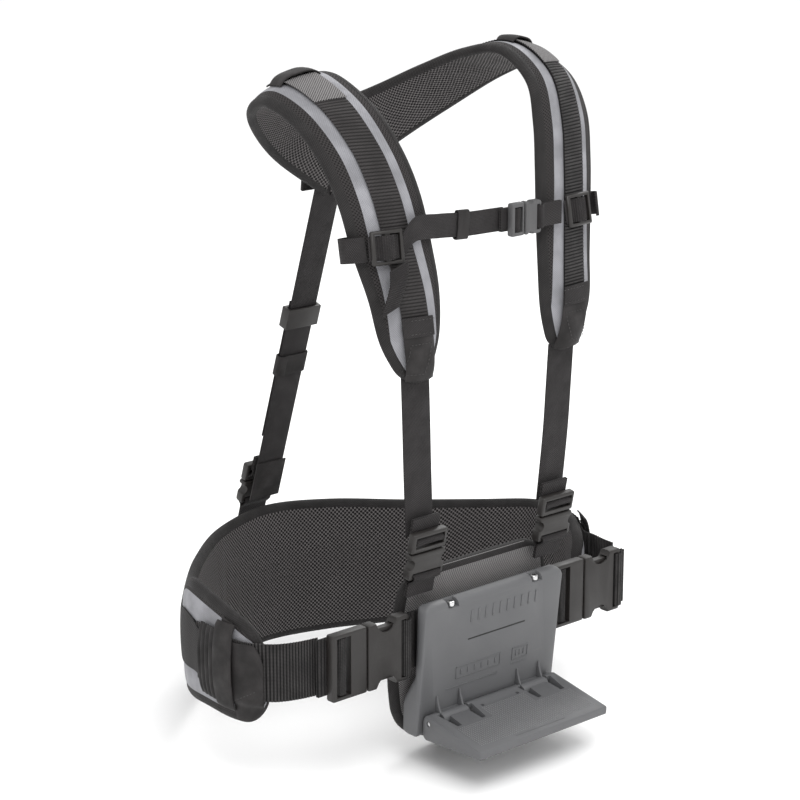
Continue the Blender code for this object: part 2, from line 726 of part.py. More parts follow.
def chest_adjuster(name, side):
    """A ladder adjuster that lies on the webbing of a shoulder pad."""
    along, across = CHEST_PLACE[side]
    centre = shoulder_point(side, along, across, SHOULDER_THICKNESS / 2 + 0.0066)
    inner = shoulder_point(side, along, across - 0.3, SHOULDER_THICKNESS / 2 + 0.0066)
    outward = centre - shoulder_point(side, along, across, 0)
    frame = frame_at(centre, centre - inner, outward)
    wide = CHEST_WEBBING / 2 + 0.0008
    body = box(name, (-0.015, -wide - 0.003, -0.002), (0.015, wide + 0.003, 0.002))
    bevel(body, 0.0012, 1)
    for label, low, high in (("slot_a", -0.0115, -0.0025), ("slot_b", 0.0025, 0.0115)):
        helper_box(body, label, (low, -wide, -0.01), (high, wide, 0.01), "DIFFERENCE")
    place(body, frame)
    finish(body, "buckle_plastic")


def pad_wrap(name, side):
    """Webbing that goes from the adjuster round the arm edge of the pad to its back."""
    out = SHOULDER_THICKNESS / 2 + 0.0045
    behind = -(SHOULDER_THICKNESS / 2 + LINING_THICKNESS + 0.0048)
    along = CHEST_PLACE[side][0]
    front = [shoulder_point(side, along, a, out) for a in (0.93, 0.98)]
    edge = shoulder_point(side, along, 1.0, 0)
    outside = (edge - shoulder_point(side, along, 0.8, 0)).normalized()
    turn = [edge + outside * 0.0090 + (front[1] - edge) * 0.35]
    back = [shoulder_point(side, along, a, behind) for a in (0.97, 0.8, 0.6)]
    turn += [edge + outside * 0.0090 + (back[0] - edge) * 0.4]
    ribbon(name, front + turn + back, (0, 0.17, 0.985), CHEST_WEBBING, columns=14)


def chest_strap():
    for side, word in ((-1, "right"), (1, "left")):
        chest_adjuster(f"{word}_chest_adjuster", side)
        pad_wrap(f"{word}_pad_wrap", side)
    frame = frame_at(CHEST_MOUTH, (-1, 0, 0), (0, -1, 0))
    buckle_socket("chest_socket", CHEST_BUCKLE, frame, "chest_buckle_plastic")
    buckle_latch("chest_latch", CHEST_BUCKLE, frame, "chest_buckle_plastic")
    ladder_wrap("chest_wrap", CHEST_BUCKLE, frame, 0.006)
    z = CHEST_MOUTH.z
    right = [(-0.085, -0.1590, z + 0.006), (-0.060, -0.1590, z + 0.005)]
    right += [(-0.03, -0.1560, z + 0.002), (0.017, -0.1530, z)]
    ribbon("right_chest_webbing", right, (0, 0, 1), CHEST_WEBBING, columns=8)
    front = [(-0.0024, 0.0034), (-0.0060, 0.0012), (-0.0260, 0.0010)]
    back = [(-0.0030, -0.0040), (-0.0070, -0.0008), (-0.0260, -0.0008)]
    bar_wrap("left_chest_webbing", CHEST_BUCKLE, frame, front, back)
    keeper = Vector((-0.032, -0.1562, z + 0.0022))
    inner = (CHEST_WEBBING + 0.0014, WEBBING_THICKNESS + 0.0012)
    sleeve("chest_keeper", keeper, (1, 0.064, -0.07), (0, -1, 0), inner, 0.013, 0.0013, "webbing")
    tail = [(-0.1060, -0.1640, 0.324), (-0.1090, -0.1665, 0.310), (-0.1170, -0.1655, 0.288)]
    ribbon("chest_tail", tail, (1, 0, 0.35), CHEST_WEBBING, columns=4)


hip_belt()
belly()
belt_buckles()
plate()
tool_rest()
front_straps()
shoulders()
back_strap()
chest_strap()
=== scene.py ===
# %% [markdown]
# # A tool belt with a shoulder harness
#
# The real object is sewn and moulded: foam pads in fabric, bound along their edges with tape, woven
# straps with side-release buckles, and a moulded plate in front with a rest that folds down.
# The measured parts come first, as a fixed frame. Everything that follows is built where they say.

import math

import bpy
import numpy as np
from mathutils import Matrix, Vector


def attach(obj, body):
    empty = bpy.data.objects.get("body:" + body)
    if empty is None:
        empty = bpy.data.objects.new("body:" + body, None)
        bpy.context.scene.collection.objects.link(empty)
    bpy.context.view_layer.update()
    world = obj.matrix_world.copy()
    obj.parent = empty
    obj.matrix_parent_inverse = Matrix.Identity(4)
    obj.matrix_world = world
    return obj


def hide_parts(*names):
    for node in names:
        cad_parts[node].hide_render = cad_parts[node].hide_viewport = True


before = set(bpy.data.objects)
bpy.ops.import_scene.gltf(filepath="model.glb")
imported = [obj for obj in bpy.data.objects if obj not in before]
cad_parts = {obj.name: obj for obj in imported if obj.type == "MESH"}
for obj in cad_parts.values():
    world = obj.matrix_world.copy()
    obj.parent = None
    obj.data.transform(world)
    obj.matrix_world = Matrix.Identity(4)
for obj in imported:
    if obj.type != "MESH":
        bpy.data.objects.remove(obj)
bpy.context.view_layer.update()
SCENE = bpy.context.scene

# %% [markdown]
# ## Camera, floor and light
#
# A long lens from the wearer's right front, a little above the belt. The studio is a pale floor
# under an even white dome, with one large lamp high on the right-hand side to draw the edges.

# %% Set up the studio
AIM = Vector((0.0, -0.045, 0.17))
AZIMUTH, ELEVATION = math.radians(-41.5), math.radians(15.5)
DISTANCE = 2.087
FLOOR_Z = -0.119


def add_camera():
    back = Vector((
        math.sin(AZIMUTH) * math.cos(ELEVATION),
        -math.cos(AZIMUTH) * math.cos(ELEVATION),
        math.sin(ELEVATION),
    ))
    camera = bpy.data.objects.new("camera", bpy.data.cameras.new("camera"))
    SCENE.collection.objects.link(camera)
    camera.location = AIM + back * DISTANCE
    camera.rotation_euler = back.to_track_quat("Z", "Y").to_euler()
    camera.data.lens = 108
    camera.data.sensor_width = 36
    SCENE.camera = camera


def add_lamp(name, place, size, power):
    lamp = bpy.data.objects.new(name, bpy.data.lights.new(name, "AREA"))
    SCENE.collection.objects.link(lamp)
    lamp.location = place
    lamp.rotation_euler = (Vector(place) - AIM).to_track_quat("Z", "Y").to_euler()
    lamp.data.size = size
    lamp.data.energy = power


def plain_material(name, colour, roughness):
    material = bpy.data.materials.new(name)
    material.use_nodes = True
    shader = material.node_tree.nodes["Principled BSDF"]
    shader.inputs["Base Color"].default_value = (*colour, 1)
    shader.inputs["Roughness"].default_value = roughness
    return material


def add_studio():
    world = SCENE.world or bpy.data.worlds.new("studio")
    SCENE.world = world
    world.use_nodes = True
    world.node_tree.nodes["Background"].inputs["Color"].default_value = (1, 1, 1, 1)
    world.node_tree.nodes["Background"].inputs["Strength"].default_value = 1.0
    add_lamp("key", (-1.0, -1.6, 2.2), 1.1, 26)
    add_lamp("rim", (1.8, 0.9, 1.7), 1.0, 16)
    add_lamp("top", (0.1, -0.9, 2.7), 1.2, 16)
    bpy.ops.mesh.primitive_plane_add(size=60, location=(0, 0, FLOOR_Z))
    floor = bpy.context.object
    floor.name = "floor"
    floor.data.materials.append(plain_material("pale floor", (1.0, 1.0, 1.0), 1.0))
    SCENE.view_settings.view_transform = "Standard"


add_camera()
add_studio()
print("camera at", [round(value, 3) for value in SCENE.camera.location])

# %% [markdown]
# ## The lines of the harness
#
# The pads and straps all lie on a few smooth surfaces. Each surface runs through a short list of
# stations, in centimetres, the same ones that the measured parts were made from.

# %% Stations of the belt, the shoulder pads and the belly pad
CM = 0.01
HIP = CM * np.array([
    (-20.9, -12.1, -4.6, 2.2), (-21.6, -10.8, -5.0, 3.2), (-22.0, -8.6, -5.1, 4.2),
    (-21.7, -5.3, -5.2, 4.8), (-20.6, -1.7, -5.8, 4.7), (-17.5, 3.0, -7.2, 2.5),
    (-12.5, 8.4, -9.7, 2.2), (-6.6, 12.9, -10.6, 2.3), (0.0, 14.6, -10.7, 2.6),
    (6.4, 12.9, -10.6, 2.3), (12.3, 8.6, -9.9, 2.0), (17.2, 3.6, -7.6, 2.2),
    (19.8, -0.6, -6.2, 2.7), (19.7, -4.3, -5.5, 3.1), (18.4, -7.6, -5.2, 3.1),
    (16.6, -10.2, -5.0, 2.6), (14.9, -11.6, -4.4, 1.8),
])
NECK = CM * np.array([
    (7.1, -15.7, 22.4), (6.0, -15.8, 26.0), (5.8, -15.6, 30.0), (6.1, -15.0, 34.0),
    (6.6, -14.3, 38.0), (7.4, -13.2, 41.5), (8.4, -11.2, 44.8), (8.8, -7.2, 46.9),
    (8.0, -3.4, 46.4), (6.0, -0.4, 45.0), (3.2, 1.9, 43.4), (0.3, 2.9, 42.4),
])
ARM = CM * np.array([
    (9.6, -15.8, 22.4), (11.6, -15.5, 26.0), (12.3, -14.8, 30.0), (13.2, -13.9, 34.0),
    (13.9, -13.1, 38.0), (14.7, -11.8, 41.5), (15.3, -9.2, 44.2), (15.3, -5.6, 45.3),
    (14.3, -2.2, 44.0), (11.3, 0.9, 41.3), (6.6, 3.8, 37.8), (0.3, 5.3, 33.8),
])
BELLY = CM * np.array([
    (5.3, -13.85, 7.2), (3.6, -13.75, 8.3), (0.0, -13.5, 8.8), (-4.0, -13.0, 8.7),
    (-8.0, -12.5, 7.8), (-10.2, -12.2, 6.6), (-11.5, -12.05, 4.6),
])
CROWN = 0.0035
DROP = {-1: 0.010, 1: 0.0}
STEP = 0.004


def curve_at(stations, t):
    """A smooth curve through the stations, at t from 0 to 1."""
    place = np.clip(np.asarray(t, float), 0, 1) * (len(stations) - 1)
    i = np.minimum(place.astype(int), len(stations) - 2)
    f = (place - i)[..., None]
    longer = np.vstack([2 * stations[0] - stations[1], stations, 2 * stations[-1] - stations[-2]])
    a, b, c, d = (longer[i + k] for k in range(4))
    bend = (2 * a - 5 * b + 4 * c - d) * f**2 + (3 * b - a - 3 * c + d) * f**3
    return 0.5 * (2 * b + (c - a) * f + bend)


def unit(vectors):
    return vectors / np.linalg.norm(vectors, axis=-1, keepdims=True)


def hip_surface(along, share, lift):
    """A point of the hip pad: share is 0 at its lower edge, lift is out from its middle."""
    t, share, lift = np.broadcast_arrays(along, share, lift)
    here = curve_at(HIP, t)
    ahead = curve_at(HIP, np.minimum(t + STEP, 1)) - curve_at(HIP, np.maximum(t - STEP, 0))
    outward = unit(np.stack([-ahead[..., 1], ahead[..., 0], 0 * t], -1))
    height = here[..., 2] + (here[..., 3] - here[..., 2]) * share
    return np.stack([here[..., 0], here[..., 1], height], -1) + outward * lift[..., None]


def shoulder_surface(side):
    """The surface of one shoulder pad: along from its tip, share from its neck edge."""

    def flat(a, b):
        return curve_at(NECK, a) * (1 - b)[..., None] + curve_at(ARM, a) * b[..., None]

    def surface(along, share, lift):
        a, b, lift = np.broadcast_arrays(along, share, lift)
        forward = flat(np.minimum(a + STEP, 1), b) - flat(np.maximum(a - STEP, 0), b)
        sideways = flat(a, np.ones_like(b)) - flat(a, np.zeros_like(b))
        normal = unit(np.cross(sideways, forward))
        point = flat(a, b) + normal * (lift + CROWN * (1 - (2 * b - 1) ** 2))[..., None]
        point[..., 2] -= DROP[side] * np.sin(math.pi * np.clip(a, 0, 1)) ** 1.5
        point[..., 0] *= side
        return point

    return surface


def belly_surface(down, share, lift):
    """A point of the belly pad: down from its top, share from its right edge."""
    down, share, lift = np.broadcast_arrays(down, share, lift)
    z, y, half = np.moveaxis(curve_at(BELLY, down), -1, 0)
    return np.stack([(2 * share - 1) * half, y - lift, z], -1)


print("stations:", len(HIP), "round the hips,", len(NECK), "along each shoulder")

# %% [markdown]
# ## A pad as a place to work on
#
# Pads, bindings, stitches and sewn-on strips all follow a pad's outline, so one small class turns
# metres along and across a pad into points in space. A pad's corners are rounded, and its outline can
# be drawn at any distance in from its edge.

# %% Describe the four pads
TURNS = np.linspace(0, math.pi / 2, 7)


class Pad:
    """A bent pad, measured in metres along its middle and across it."""

    def __init__(self, surface, corners, thickness, edge, open_end=False):
        self.surface = surface
        self.corners = corners
        self.half = thickness / 2
        self.edge = edge / 2
        self.open_end = open_end
        self.steps = np.linspace(0, 1, 401)
        middle = surface(self.steps, 0.5, 0.0)
        lengths = np.linalg.norm(np.diff(middle, axis=0), axis=1)
        self.run = np.concatenate([[0], np.cumsum(lengths)])
        self.length = self.run[-1]
        self.widths = np.linalg.norm(surface(self.steps, 1.0, 0.0) - surface(self.steps, 0.0, 0.0), axis=1)

    def width(self, x):
        return np.interp(x, self.run, self.widths)

    def at(self, x, y, lift):
        """The point x metres along, y metres across and lift metres out."""
        return self.surface(np.interp(x, self.run, self.steps), y / self.width(x), lift)

    def low_edge(self, x):
        """How far in from its side the rounded outline runs, x metres along."""
        low = np.zeros_like(x)
        for distance, radius in ((x, self.corners[0]), (self.length - x, self.corners[1])):
            inside = np.clip(radius - distance, 0, radius)
            low = np.maximum(low, radius - np.sqrt(np.maximum(radius**2 - inside**2, 0)))
        return low

    def thickness_at(self, x, y):
        """Half of the pad's thickness, which swells from its sewn edge to its middle."""
        low = self.low_edge(x)
        side = np.minimum(y - low, self.width(x) - low - y)
        end = x if self.open_end else np.minimum(x, self.length - x)
        near = np.clip(np.minimum(side, end) / 0.020, 0, 1)
        return self.edge + (self.half - self.edge) * np.sin(near * math.pi / 2) ** 0.8

    def outline(self, inset, per_side=120, per_end=8):
        """x and y round the pad at a distance in from its edge, and whether the line closes."""
        near, far = self.corners
        runs = []
        xs = np.linspace(self.length if self.open_end else self.length - far, near, per_side)
        runs.append((xs, np.full(per_side, inset), np.zeros(per_side)))
        reach = near - inset
        runs.append((near - reach * np.sin(TURNS[1:]), near - reach * np.cos(TURNS[1:]), 0 * TURNS[1:]))
        part = np.linspace(0, 1, per_end + 2)[1:-1]
        runs.append((np.full(per_end, inset), near * (1 - 2 * part), part))
        runs.append((near - reach * np.cos(TURNS), -(near - reach * np.sin(TURNS)), 0 * TURNS + 1))
        runs.append((xs[::-1][1:], np.full(per_side - 1, -inset), np.ones(per_side - 1)))
        if not self.open_end:
            reach = far - inset
            x = self.length - far + reach * np.sin(TURNS[1:])
            runs.append((x, -(far - reach * np.cos(TURNS[1:])), 0 * TURNS[1:] + 1))
            runs.append((np.full(per_end, self.length - inset), -far * (1 - 2 * part), 1 - part))
            x = self.length - far + reach * np.cos(TURNS)
            runs.append((x, far - reach * np.sin(TURNS), 0 * TURNS))
        x, y, share = (np.concatenate(column) for column in zip(*runs))
        return x, y + share * self.width(x)


HIP_PAD = Pad(hip_surface, (0.022, 0.022), 0.0135, 0.006)
SHOULDERS = {side: Pad(shoulder_surface(side), (0.013, 0.002), 0.0125, 0.005, True) for side in (-1, 1)}
BELLY_PAD = Pad(belly_surface, (0.016, 0.042), 0.0135, 0.006)
print("hip pad", round(HIP_PAD.length, 3), "m round; shoulder pad", round(SHOULDERS[1].length, 3), "m long")

# %% [markdown]
# ## Tools that every piece shares
#
# A new object is selected all over and the frame's own parts are still selected, so everything is
# deselected before anything is added. A fabric piece starts as a flat grid, which is laid on its
# surface and then thickened; its UV map keeps metres along and across, so a weave is the right size.

# %% Make, apply and shade
RIB = 0.0026


def deselect():
    if bpy.context.object and bpy.context.object.mode != "OBJECT":
        bpy.ops.object.mode_set(mode="OBJECT")
    bpy.ops.object.select_all(action="DESELECT")


def pick(piece):
    deselect()
    piece.select_set(True)
    bpy.context.view_layer.objects.active = piece


def apply_modifiers(piece):
    pick(piece)
    for modifier in list(piece.modifiers):
        bpy.ops.object.modifier_apply(modifier=modifier.name)


def face_outwards(piece):
    pick(piece)
    bpy.ops.object.mode_set(mode="EDIT")
    bpy.ops.mesh.select_all(action="SELECT")
    bpy.ops.mesh.normals_make_consistent(inside=False)
    bpy.ops.object.mode_set(mode="OBJECT")


def smooth(piece, degrees=35):
    pick(piece)
    bpy.ops.object.shade_smooth_by_angle(angle=math.radians(degrees))


def dress(piece, material, body, *stands_for):
    """Gives a finished piece its material, its body and the measured nodes it stands for."""
    piece.data.materials.clear()
    piece.data.materials.append(material)
    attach(piece, body)
    if stands_for:
        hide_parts(*stands_for)
    return piece


def flat_grid(name, columns, rows):
    """A flat grid and, for each of its points, its shares along and across."""
    deselect()
    bpy.ops.mesh.primitive_grid_add(x_subdivisions=columns, y_subdivisions=rows, size=1)
    piece = bpy.context.object
    piece.name = piece.data.name = name
    flat = np.array([tuple(vert.co) for vert in piece.data.vertices])
    return piece, flat[:, 0] + 0.5, flat[:, 1] + 0.5


def set_points(piece, points):
    piece.data.vertices.foreach_set("co", np.ascontiguousarray(points, np.float32).ravel())
    piece.data.update()


def get_points(piece):
    flat = np.empty(len(piece.data.vertices) * 3, np.float32)
    piece.data.vertices.foreach_get("co", flat)
    return flat.reshape(-1, 3).astype(float)


def set_uv(piece, u, v):
    """Stores metres along and across on every corner, from one value for each point."""
    layer = piece.data.uv_layers.active or piece.data.uv_layers.new(name="UVMap")
    corner = np.empty(len(piece.data.loops), np.int32)
    piece.data.loops.foreach_get("vertex_index", corner)
    pairs = np.stack([np.asarray(u, float)[corner], np.asarray(v, float)[corner]], -1)
    layer.data.foreach_set("uv", pairs.ravel().astype(np.float32))


def run_of(points):
    """The distance travelled along a row of points."""
    return np.concatenate([[0], np.cumsum(np.linalg.norm(np.diff(points, axis=0), axis=1))])


def tape(name, surface, columns, rows, thickness, rib=0.0, rib_height=0.0003):
    """A strip of webbing or fabric laid on surface(along, across), thickened and softened."""
    probe = np.linspace(0, 1, 81)
    length = run_of(surface(probe, 0.5 + 0 * probe))[-1]
    width = np.linalg.norm(surface(np.array([0.5]), np.array([1.0])) - surface(np.array([0.5]),
        np.array([0.0])))
    if rib:
        columns = max(columns, 6 * round(length / rib))
    piece, along, across = flat_grid(name, columns, rows)
    set_points(piece, surface(along, across))
    set_uv(piece, along * (RIB * round(length / rib) if rib else length), across * width)
    wall = piece.modifiers.new("wall", "SOLIDIFY")
    wall.thickness = thickness
    wall.offset = 0
    apply_modifiers(piece)
    if rib:
        points = get_points(piece)
        half = len(points) // 2
        outward = unit(points[:half] - points[half:])
        wave = -np.cos(2 * math.pi * along * round(length / rib))[:, None] * rib_height
        set_points(piece, np.vstack([points[:half] + outward * wave, points[half:] - outward * wave]))
    soft = piece.modifiers.new("soft edge", "BEVEL")
    soft.width = 0.3 * thickness
    soft.segments = 2
    soft.angle_limit = math.radians(60)
    apply_modifiers(piece)
    face_outwards(piece)
    smooth(piece, 60)
    return piece


def ribbon(path, across, width):
    """The surface of a flat strap along a path, with the direction of its width."""
    stations = np.array([tuple(point) for point in path], float)
    side = np.array(Vector(across).normalized()) * width

    def surface(along, over):
        return curve_at(stations, along) + side * (over - 0.5)[..., None]

    return surface


print("tools ready")

# %% [markdown]
# ## Patterns as node groups
#
# A weave, a spacer mesh or the grain of a mould is used by more than one material, so each is a node
# group with its own inputs. A group gives out a height for the bump and a mask for the colour. In the
# weaves the mask is painted shading, darker down between the threads and lighter on their tops.

# %% Build the pattern groups


class Nodes:
    """A node tree with short ways to add maths, noise and links."""

    def __init__(self, tree):
        self.tree = tree

    def add(self, kind, **values):
        node = self.tree.nodes.new(kind)
        for name, value in values.items():
            setattr(node, name, value)
        return node

    def put(self, value, socket):
        if isinstance(value, (int, float, tuple)):
            socket.default_value = value
        else:
            self.tree.links.new(value, socket)

    def maths(self, operation, *values):
        node = self.add("ShaderNodeMath", operation=operation)
        for value, socket in zip(values, node.inputs):
            self.put(value, socket)
        return node.outputs[0]

    def vector(self, operation, *values):
        node = self.add("ShaderNodeVectorMath", operation=operation)
        for value, socket in zip(values, node.inputs):
            self.put(value, socket)
        return node.outputs["Value"] if operation == "LENGTH" else node.outputs["Vector"]

    def noise(self, place, scale, detail=3.0, roughness=0.5):
        node = self.add("ShaderNodeTexNoise")
        for label, value in (("Vector", place), ("Scale", scale), ("Detail", detail),
            ("Roughness", roughness)):
            self.put(value, node.inputs[label])
        return node.outputs["Fac"]

    def remap(self, value, low, high, to_low=0.0, to_high=1.0, smooth_step=True):
        node = self.add("ShaderNodeMapRange", interpolation_type="SMOOTHSTEP" if smooth_step else "LINEAR")
        for label, number in (("From Min", low), ("From Max", high), ("To Min", to_low), ("To Max", to_high)):
            self.put(number, node.inputs[label])
        self.put(value, node.inputs["Value"])
        return node.outputs["Result"]

    def mix(self, share, first, second):
        node = self.add("ShaderNodeMix", data_type="RGBA")
        self.put(share, node.inputs["Factor"])
        for value, label in ((first, "A"), (second, "B")):
            socket = next(s for s in node.inputs if s.name == label and s.type == "RGBA")
            self.put((*value, 1) if isinstance(value, tuple) and len(value) == 3 else value, socket)
        return next(s for s in node.outputs if s.type == "RGBA")


def pattern(name, inputs, outputs):
    """A node group with a Place vector and some sizes coming in, and some values going out."""
    tree = bpy.data.node_groups.new(name, "ShaderNodeTree")
    tree.interface.new_socket(name="Place", in_out="INPUT", socket_type="NodeSocketVector")
    for label, value in inputs.items():
        tree.interface.new_socket(name=label, in_out="INPUT",
            socket_type="NodeSocketFloat").default_value = value
    for label in outputs:
        tree.interface.new_socket(name=label, in_out="OUTPUT", socket_type="NodeSocketFloat")
    return Nodes(tree), tree.nodes.new("NodeGroupInput").outputs, tree.nodes.new("NodeGroupOutput").inputs


def webbing_pattern():
    """Crosswise ribs, each made of yarns that may sit a little further on than their neighbours."""
    sizes = {"Rib": 0.0026, "Yarn": 0.0014, "Shift": 0.5}
    n, come, go = pattern("woven webbing", sizes, ("Height", "Light"))
    split = n.add("ShaderNodeSeparateXYZ")
    n.put(come["Place"], split.inputs[0])
    across = n.maths("DIVIDE", split.outputs["Y"], come["Yarn"])
    shift = n.maths("MULTIPLY", n.maths("MODULO", n.maths("FLOOR", across), 2.0), come["Shift"])
    along = n.maths("ADD", n.maths("DIVIDE", split.outputs["X"], come["Rib"]), shift)
    rib = n.maths("ABSOLUTE", n.maths("SINE", n.maths("MULTIPLY", along, math.pi)))
    yarn = n.maths("ABSOLUTE", n.maths("SINE", n.maths("MULTIPLY", across, math.pi)))
    height = n.maths("MULTIPLY", n.maths("POWER", rib, 0.8), n.remap(yarn, 0.0, 1.0, 0.45, 1.0))
    worn = n.noise(come["Place"], 60.0)
    n.put(height, go["Height"])
    # The colour share is painted shade, darker down between the ribs and yarns, with random worn patches over
    # it.
    n.put(n.maths("MULTIPLY", n.remap(height, 0.15, 1.0), n.remap(worn, 0.3, 0.7, 0.6, 1.0)), go["Light"])
    return n.tree


def mesh_pattern():
    """Rows of small round holes, each row half a step on from the last, with thread between them."""
    n, come, go = pattern("spacer mesh", {"Pitch": 0.0042, "Hole": 0.27}, ("Height", "Hole"))
    pitch = n.add("ShaderNodeCombineXYZ")
    for label in "XYZ":
        n.put(come["Pitch"], pitch.inputs[label])
    scaled = n.vector("DIVIDE", come["Place"], pitch.outputs[0])
    nearest = None
    for start in (0.0, 0.5):
        moved = n.vector("FRACTION", n.vector("ADD", scaled, (start, start, 0.0)))
        cell = n.vector("MULTIPLY", n.vector("SUBTRACT", moved, (0.5, 0.5, 0.0)), (1.0, 1.0, 0.0))
        distance = n.vector("LENGTH", cell)
        nearest = distance if nearest is None else n.maths("MINIMUM", nearest, distance)
    hole = n.remap(n.maths("SUBTRACT", nearest, come["Hole"]), -0.09, 0.05, 1.0, 0.0)
    thread = n.noise(come["Place"], 2600.0, 2.0)
    solid = n.maths("SUBTRACT", 1.0, hole)
    n.put(n.maths("ADD", solid, n.maths("MULTIPLY", thread, 0.25)), go["Height"])
    n.put(hole, go["Hole"])
    return n.tree


def cloth_pattern():
    """A plain weave too fine to count, over soft larger folds."""
    n, come, go = pattern("plain weave", {"Thread": 0.0009}, ("Height", "Light"))
    split = n.add("ShaderNodeSeparateXYZ")
    n.put(come["Place"], split.inputs[0])
    waves = []
    for label in ("X", "Y"):
        step = n.maths("DIVIDE", split.outputs[label], come["Thread"])
        waves.append(n.maths("SINE", n.maths("MULTIPLY", step, math.pi)))
    weave = n.maths("MULTIPLY", *waves)
    folds = n.noise(come["Place"], 45.0, 3.0)
    n.put(n.maths("ADD", n.maths("MULTIPLY", weave, 0.2), folds), go["Height"])
    # The colour share is painted shade and sheen: lighter on the tops of threads and folds, darker between
    # them.
    n.put(n.remap(n.maths("ADD", n.maths("MULTIPLY", weave, 0.15), folds), 0.25, 0.8), go["Light"])
    return n.tree


def mould_pattern():
    """The fine grain of a spark-eroded mould, with handling marks that are smoother and paler."""
    n, come, go = pattern("moulded grain", {"Grain": 1600.0}, ("Height", "Rough", "Scuff"))
    grain = n.noise(come["Place"], come["Grain"], 2.0)
    stretched = n.vector("MULTIPLY", come["Place"], (30.0, 30.0, 420.0))
    scratches = n.remap(n.noise(stretched, 1.0, 4.0), 0.60, 0.78)
    patches = n.noise(come["Place"], 22.0, 4.0)
    n.put(grain, go["Height"])
    n.put(n.maths("ADD", n.remap(patches, 0.3, 0.7, 0.0, 0.16), n.maths("MULTIPLY", grain, 0.06)),
        go["Rough"])
    n.put(n.maths("MULTIPLY", scratches, n.remap(patches, 0.35, 0.75)), go["Scuff"])
    return n.tree


PATTERNS = {"webbing": webbing_pattern(), "mesh": mesh_pattern(), "cloth": cloth_pattern(),
    "mould": mould_pattern()}
print("patterns:", ", ".join(tree.name for tree in PATTERNS.values()))

# %% [markdown]
# ## The finishes
#
# Cloth and webbing read their UV map, in metres, so their threads follow the piece. Moulded plastic and
# steel read the piece's own coordinates. Fabric gets a little sheen, the glow of fine loose fibres.

# %% Mix the materials


BAND = "band"


def new_finish(name, place="UV"):
    """An empty finish: its nodes, its shader and the coordinates that its pattern reads."""
    material = plain_material(name, (0.5, 0.5, 0.5), 0.8)
    n = Nodes(material.node_tree)
    shader = material.node_tree.nodes["Principled BSDF"]
    coordinates = n.add("ShaderNodeTexCoord").outputs[place]
    return material, n, shader, coordinates


def use(n, tree, place, **sizes):
    node = n.add("ShaderNodeGroup", node_tree=tree)
    n.put(place, node.inputs["Place"])
    for label, value in sizes.items():
        node.inputs[label].default_value = value
    return node.outputs


def bump(n, height, shader, distance, strength=1.0):
    node = n.add("ShaderNodeBump")
    node.inputs["Distance"].default_value = distance
    node.inputs["Strength"].default_value = strength
    n.put(height, node.inputs["Height"])
    n.put(node.outputs["Normal"], shader.inputs["Normal"])


def sheen(shader, weight, roughness=0.5, shine=0.25):
    shader.inputs["Sheen Weight"].default_value = weight
    shader.inputs["Sheen Roughness"].default_value = roughness
    shader.inputs["Specular IOR Level"].default_value = shine


def webbing_finish(name, dark, light, rib, yarn, depth=0.0004, shift=0.5):
    material, n, shader, place = new_finish(name)
    weave = use(n, PATTERNS["webbing"], place, Rib=rib, Yarn=yarn, Shift=shift)
    # Painted shade from the weave darkens the grooves between the ribs.
    n.put(n.mix(weave["Light"], dark, light), shader.inputs["Base Color"])
    n.put(n.remap(weave["Light"], 0, 1, 0.85, 0.6), shader.inputs["Roughness"])
    bump(n, weave["Height"], shader, depth)
    sheen(shader, 0.02)
    return material


def mesh_finish(name, thread, hole, pitch, size=0.27):
    material, n, shader, place = new_finish(name)
    holes = use(n, PATTERNS["mesh"], place, Pitch=pitch, Hole=size)
    soft = n.mix(n.noise(place, 25.0), thread, tuple(0.72 * value for value in thread))
    n.put(n.mix(holes["Hole"], soft, hole), shader.inputs["Base Color"])
    bump(n, holes["Height"], shader, 0.0012)
    sheen(shader, 0.02)
    return material


def cloth_finish(name, dark, light, thread=0.0009, depth=0.0006):
    material, n, shader, place = new_finish(name)
    weave = use(n, PATTERNS["cloth"], place, Thread=thread)
    # Painted shade and sheen from the weave and its folds set the colour.
    n.put(n.mix(weave["Light"], dark, light), shader.inputs["Base Color"])
    n.put(n.remap(weave["Light"], 0, 1, 0.8, 0.55), shader.inputs["Roughness"])
    bump(n, weave["Height"], shader, depth, 0.6)
    sheen(shader, 0.02)
    return material


def plastic_finish(name, colour, roughness, grain=1600.0, depth=0.00006):
    material, n, shader, place = new_finish(name, "Object")
    mould = use(n, PATTERNS["mould"], place, Grain=grain)
    worn = tuple(1.12 * value + 0.003 for value in colour)
    n.put(n.mix(mould["Scuff"], colour, worn), shader.inputs["Base Color"])
    n.put(n.maths("ADD", mould["Rough"], roughness), shader.inputs["Roughness"])
    bump(n, mould["Height"], shader, depth)
    return material


def steel_finish():
    material, n, shader, place = new_finish("bright steel", "Object")
    mould = use(n, PATTERNS["mould"], place, Grain=900.0)
    n.put(n.mix(mould["Scuff"], (0.62, 0.62, 0.62), (0.35, 0.34, 0.33)), shader.inputs["Base Color"])
    n.put(n.maths("ADD", mould["Rough"], 0.16), shader.inputs["Roughness"])
    shader.inputs["Metallic"].default_value = 1.0
    bump(n, mould["Height"], shader, 0.00003)
    return material


